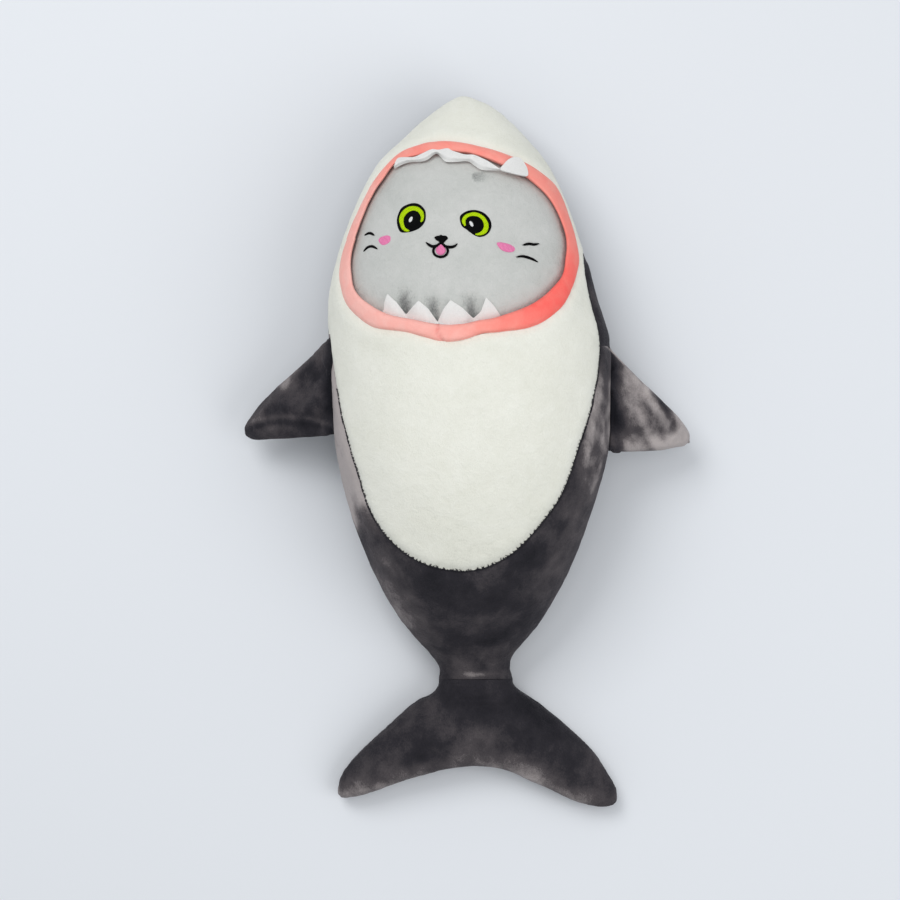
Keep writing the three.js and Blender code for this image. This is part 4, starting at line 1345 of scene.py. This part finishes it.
def crescent(name, outer, inner, rise, slot, count=60, across=10):
    """A crescent of thread between two open curves, crowned along its middle."""
    a, b = curve(outer, count), curve(inner, count)
    share = np.linspace(0, 1, across + 1)
    xy = a[:, None, :] * (1 - share)[None, :, None] + b[:, None, :] * share[None, :, None]
    xy = xy.reshape(-1, 2)
    crown = np.tile(rise * (1 - np.abs(2 * share - 1) ** 3) + 0.3, count)
    top = np.column_stack([xy, face_height(xy[:, 0], xy[:, 1]) + crown])
    faces = grid_triangles(count, across + 1)
    if vertex_normals(top, faces)[:, 2].sum() < 0:
        faces = faces[:, ::-1]
    return finish_trim(name, top, faces, slot, 1.0)


def finish_trim(name, top, faces, slot, depth, node=None, body="body"):
    closed, triangles, rim = shell(top, faces, depth)
    made = make(name, closed, triangles, slot, sharp=rim)
    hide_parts(node or name)
    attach(made, body)
    return made


def stroke(name, points, width, slot, count=50, around=14):
    """A line of satin stitch with tapered ends."""
    line = curve(points, count)
    ahead = np.gradient(line, axis=0)
    ahead /= np.linalg.norm(ahead, axis=1, keepdims=True)
    side = np.column_stack([-ahead[:, 1], ahead[:, 0]])
    t_line = np.linspace(0, 1, count)
    wide = width / 2 * (1 - 0.75 * np.abs(2 * t_line - 1) ** 3)
    turn = np.arange(around) * 2 * math.pi / around
    xy = line[:, None, :] + side[:, None, :] * (wide[:, None] * np.cos(turn)[None, :])[..., None]
    z = face_height(line[:, 0], line[:, 1])[:, None] + 0.25 + 0.75 * np.sin(turn)[None, :]
    body = np.concatenate([xy, z[..., None]], -1).reshape(-1, 3)
    ends = np.array([body[:around].mean(0), body[-around:].mean(0)])
    faces = grid_triangles(count, around, wrap=True)
    k = np.arange(around)
    nxt = (k + 1) % around
    last = len(body)
    faces = np.concatenate([
        faces, np.stack([np.full(around, last), nxt, k], 1),
        np.stack([np.full(around, last + 1), k + last - around, nxt + last - around], 1),
    ])
    points3 = np.vstack([body, ends])
    if vertex_normals(points3, faces)[body[:, 2].argmax(), 2] < 0:
        faces = faces[:, ::-1]
    made = make(name, points3, faces, slot)
    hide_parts(name)
    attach(made, "body")


def circle(x, y, radius, stretch=1.0, lean=0.0):
    turn = np.arange(12) * math.pi / 6
    return [(x + radius * math.cos(a) + lean * stretch * radius * math.sin(a),
             y + stretch * radius * math.sin(a))
            for a in turn]


for side, eye in (("left", LEFT_EYE), ("right", RIGHT_EYE)):
    patch(f"{side}_eye_outline", eye["outline"], 0.7, "black_thread")
    crescent(f"{side}_eye_iris", eye["iris_out"], eye["iris_in"], 1.0, "green_thread")
    patch(f"{side}_eye_pupil", circle(*eye["pupil"]), 1.15, "black_thread")
    gx, gy, lean = eye["glint"]
    patch(f"{side}_eye_glint", circle(gx, gy, 1.8, 1.6, lean), 1.9, "white_thread")

patch("cat_nose", NOSE_SHAPE, 1.1, "black_thread")
for side in CHEEKS:
    patch(f"{side}_cheek", CHEEKS[side], 0.9, "pink_thread")
for name, points in STROKES.items():
    stroke(name, points, 2.5 if "mouth" in name else 2.3, "black_thread")
patch("cat_tongue", TONGUE, 1.2, "pink_thread")


def ring_stroke(name, outline, width, slot, count=64, around=12):
    """A closed line of stitching."""
    line = curve(outline, count, closed=True)
    ahead = np.roll(line, -1, axis=0) - np.roll(line, 1, axis=0)
    ahead /= np.linalg.norm(ahead, axis=1, keepdims=True)
    side_way = np.column_stack([-ahead[:, 1], ahead[:, 0]])
    turn = np.arange(around) * 2 * math.pi / around
    xy = line[:, None, :] + side_way[:, None, :] * (width / 2 * np.cos(turn))[None, :, None]
    z = face_height(line[:, 0], line[:, 1])[:, None] + 0.4 + 0.8 * np.sin(turn)[None, :]
    points = np.concatenate([xy, z[..., None]], -1).reshape(-1, 3)
    faces = grid_triangles(count, around, wrap=True)
    last = (count - 1) * around
    k = np.arange(around)
    nxt = (k + 1) % around
    faces = np.concatenate([faces, np.stack([last + k, last + nxt, nxt], 1), np.stack([last + k, nxt, k], 1)])
    if vertex_normals(points, faces)[points[:, 2].argmax(), 2] < 0:
        faces = faces[:, ::-1]
    made = make(name, points, faces, slot)
    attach(made, "body")


ring_stroke("cat_tongue_edging", TONGUE_EDGE, 2.1, "black_thread")


def felt_strip(name, near, far, height, across=12):
    """A cut felt strip from its sewn edge `near` to its free edge `far`; height(x, y, share) places it."""
    share = np.linspace(0, 1, across + 1)
    xy = near[:, None, :] * (1 - share)[None, :, None] + far[:, None, :] * share[None, :, None]
    s = np.tile(share, len(near))
    xy = xy.reshape(-1, 2)
    top = np.column_stack([xy, height(xy[:, 0], xy[:, 1], s)])
    faces = grid_triangles(len(near), across + 1)
    if vertex_normals(top, faces)[:, 2].sum() < 0:
        faces = faces[:, ::-1]
    closed, triangles, rim = shell(top, faces, 1.3)
    made = make(name, closed, triangles, "white_felt", sharp=rim)
    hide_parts(name)
    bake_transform(made)
    return made


def toothed(points, count, rounding=0.9):
    """Close samples of a zigzag with very slightly rounded corners."""
    line = along(np.array(points, float), np.linspace(0, 1, count))
    kernel = np.exp(-np.linspace(-2, 2, 5) ** 2 / (2 * rounding))
    kernel /= kernel.sum()
    padded = np.vstack([np.repeat(line[:1], 2, 0), line, np.repeat(line[-1:], 2, 0)])
    return np.column_stack([np.convolve(padded[:, k], kernel, mode="valid") for k in (0, 1)])


def lower_teeth():
    """The felt strip of teeth on the mouth's lower edge."""
    far = toothed(LOWER_TEETH, 220)
    share = np.linspace(0, 1, 220)
    base = along(curve([(-72, 110), (-52, 104), (-24, 98.5), (6, 103), (27, 108)], 100), share)
    near = base
    tips = np.array([LOWER_TEETH[i] for i in (2, 6, 10, 14)], float)

    def height(x, y, s):
        lift = sum(np.exp(-(((x - tx) / 7) ** 2)) * smoothstep(ty - 18, ty, y) for tx, ty in tips)
        low = front_height(x, y) - 5.5
        return np.maximum(face_height(x, y) + 1.9, low * (1 - smoothstep(104, 112, y))) + 2.2 * lift

    felt_strip("lower_teeth", near, far, height)


def upper_teeth():
    """The felt strip of teeth on the mouth's upper edge; returns the turned tooth's outline."""
    count = 200
    near = curve(UPPER_TEETH_BASE, count)
    far = curve(UPPER_TEETH_EDGE, count)
    tooth = curve(TURNED_TOOTH, 160, closed=True)

    def height(x, y, s):
        over = front_height(x, y) + 3.3 + (0.7 * np.sin(x / 3.1) + 0.5 * np.sin(x / 1.7)) * s
        held = face_height(x, y) + 3.2
        return held + (over - held) * smoothstep(-0.1, 0.45, s)

    felt_strip("upper_teeth", near, far, height)
    return tooth


def turned_tooth(tooth):
    """The last upper tooth, folded back flat over the lip. It rides on the body, not with its strip."""
    centre = tooth.mean(0)
    count = len(tooth)
    shares = np.linspace(0, 1, 9)[1:]
    xy = np.vstack([centre, *[centre + (tooth - centre) * s for s in shares]])
    z = front_height(xy[:, 0], xy[:, 1]) + 3.4 + 0.9 * smoothstep(236, 244, xy[:, 1])
    top = np.column_stack([xy, z])
    k = np.arange(count)
    nxt = (k + 1) % count
    faces = [np.stack([np.zeros(count, int), 1 + k, 1 + nxt], 1)]
    for number in range(len(shares) - 1):
        a, b = 1 + number * count + k, 1 + number * count + nxt
        faces.append(np.stack([a, a + count, b + count], 1))
        faces.append(np.stack([a, b + count, b], 1))
    faces = np.concatenate(faces)
    if vertex_normals(top, faces)[:, 2].sum() < 0:
        faces = faces[:, ::-1]
    closed, triangles, rim = shell(top, faces, 1.3)
    made = make("upper_tooth_turned", closed, triangles, "white_felt", sharp=rim)
    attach(made, "body")


lower_teeth()
turned_tooth(upper_teeth())


# ---------------------------------------------------------------- fibres caught in the belly seam

def skin_at(xy):
    """Points of the finished front skin over these places, and which way it faces there."""
    step = 0.5
    x, y = xy[:, 0], xy[:, 1]
    slope_x = (front_height(x + step, y) - front_height(x - step, y)) / (2 * step)
    slope_y = (front_height(x, y + step) - front_height(x, y - step)) / (2 * step)
    normals = np.column_stack([-slope_x, -slope_y, np.ones(len(x))])
    normals /= np.linalg.norm(normals, axis=1, keepdims=True)
    points = on_front(xy)
    return points + normals * body_relief(points)[:, None], normals


def seam_fibres():
    """Dark tufts of pile that the belly seam's stitches push up over its white edge, a few to a stitch."""
    rng = np.random.default_rng(7)
    left, right, _, _, _ = np.moveaxis(read_rows(BODY, belly_line[:, 1]), -1, 0)
    u = (2 * belly_line[:, 0] - left - right) / (right - left)
    line = belly_line[(np.abs(u) < 0.965) & (belly_line[:, 1] < 166)]
    length = np.hypot(*np.diff(line, axis=0).T).sum()
    count = int(length / 1.4)
    at = along(line, (np.arange(count) + 0.5 + rng.uniform(-0.3, 0.3, count)) / count)
    ahead = np.gradient(at, axis=0)
    ahead /= np.linalg.norm(ahead, axis=1, keepdims=True)
    inward = np.column_stack([-ahead[:, 1], ahead[:, 0]])
    rings, around = 6, 8
    share = np.linspace(0, 1, rings)
    stitch = 0.5 + 0.5 * np.cos(2 * math.pi * np.arange(count) * 1.4 / 2.8)
    reach = (1.0 + 1.9 * stitch) * rng.uniform(0.5, 1.3, count)
    wide = rng.uniform(0.55, 0.95, count)
    lean = rng.uniform(-0.9, 0.9, count)
    way = inward + ahead * lean[:, None]
    ahead_of, behind = (front_height(*(at + inward * d).T) for d in (0.5, -0.5))
    flat = 1 / np.sqrt(1 + (ahead_of - behind) ** 2)[:, None]
    inward, way = inward * flat, way * flat
    reach *= 0.4 + 0.6 * flat[:, 0]
    along_tuft = (share[None, :] * (reach[:, None] + 1.3))[..., None]
    middle = (at - inward * 1.3)[:, None, :] + way[:, None, :] * along_tuft
    places, normals = skin_at(middle.reshape(-1, 2))
    lift = np.tile(0.1 + 0.55 * share, count)
    places = (places + normals * lift[:, None]).reshape(count, rings, 3)
    normals = normals.reshape(count, rings, 3)
    forward = np.column_stack([ahead, np.zeros(count)])[:, None, :]
    radius = wide[:, None] * (1 - share[None, :] ** 2) + 0.08
    turn = np.arange(around) * 2 * math.pi / around
    tufts = (
        places[:, :, None, :]
        + forward[:, :, None, :] * (radius[..., None] * np.cos(turn))[..., None]
        + normals[:, :, None, :] * (0.5 * radius[..., None] * np.sin(turn))[..., None]
    )
    size = rings * around + 2
    k = np.arange(around)
    nxt = (k + 1) % around
    n = rings * around
    solid = np.concatenate([
        grid_triangles(rings, around, wrap=True),
        np.stack([np.full(around, n), nxt, k], 1),
        np.stack([np.full(around, n + 1), k + n - around, nxt + n - around], 1),
    ])
    ends = [tufts[:, 0].mean(1)[:, None], tufts[:, -1].mean(1)[:, None]]
    one = np.concatenate([tufts.reshape(count, n, 3), *ends], 1)
    if vertex_normals(one[count // 2], solid)[one[count // 2, :, 2].argmax(), 2] < 0:
        solid = solid[:, ::-1]
    faces = (solid[None] + (np.arange(count) * size)[:, None, None]).reshape(-1, 3)
    points = one.reshape(-1, 3)
    made = make("belly_seam_fibres", points, faces, "dark_plush",
                values={"shade": np.full(len(points), 0.2)})
    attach(made, "body")


seam_fibres()


# ---------------------------------------------------------------- floor, lights and camera

def floor():
    """The plain pale floor."""
    mesh = bpy.data.meshes.new("floor")
    size = 6.0
    corners = [(-size, -size, 0), (size, -size, 0), (size, size, 0), (-size, size, 0)]
    mesh.from_pydata(corners, [], [(0, 1, 2, 3)])
    nodes = Nodes("floor_paint")
    nodes.finish(colour(225, 228, 232), 0.9, specular=0.1)
    mesh.materials.append(nodes.material)
    made = bpy.data.objects.new("floor", mesh)
    bpy.context.scene.collection.objects.link(made)


def softbox(name, place, aim, size, watts, tint=(1, 1, 1)):
    """One soft area light aimed at the toy."""
    light = bpy.data.lights.new(name, "AREA")
    light.shape = "RECTANGLE"
    light.size, light.size_y = size
    light.energy = watts
    light.color = tint
    lamp = bpy.data.objects.new(name, light)
    lamp.location = place
    lamp.rotation_mode = "QUATERNION"
    lamp.rotation_quaternion = (Vector(aim) - Vector(place)).to_track_quat("-Z", "Y")
    bpy.context.scene.collection.objects.link(lamp)


def camera():
    """Straight down from three metres, as in a catalogue picture."""
    data = bpy.data.cameras.new("camera")
    data.sensor_width = 36
    data.lens = 139.75
    made = bpy.data.objects.new("camera", data)
    made.location = (-0.0150, 0.0037, 3.0)
    made.rotation_euler = (0, 0, 0)
    bpy.context.scene.collection.objects.link(made)
    bpy.context.scene.camera = made


floor()
softbox("key", (-1.0, 1.3, 2.2), (0, 0, 0), (1.4, 1.4), 31)
softbox("fill", (1.6, -0.7, 1.8), (0, 0, 0), (1.8, 1.8), 18)
softbox("top", (0.1, 0.2, 2.8), (0, 0, 0), (1.2, 1.2), 10)
world = bpy.data.worlds.new("studio")
bpy.context.scene.world = world
world.use_nodes = True
world.node_tree.nodes["Background"].inputs["Color"].default_value = (0.93, 0.96, 1.0, 1)
world.node_tree.nodes["Background"].inputs["Strength"].default_value = 0.45
bpy.context.scene.view_settings.view_transform = "Standard"
camera()
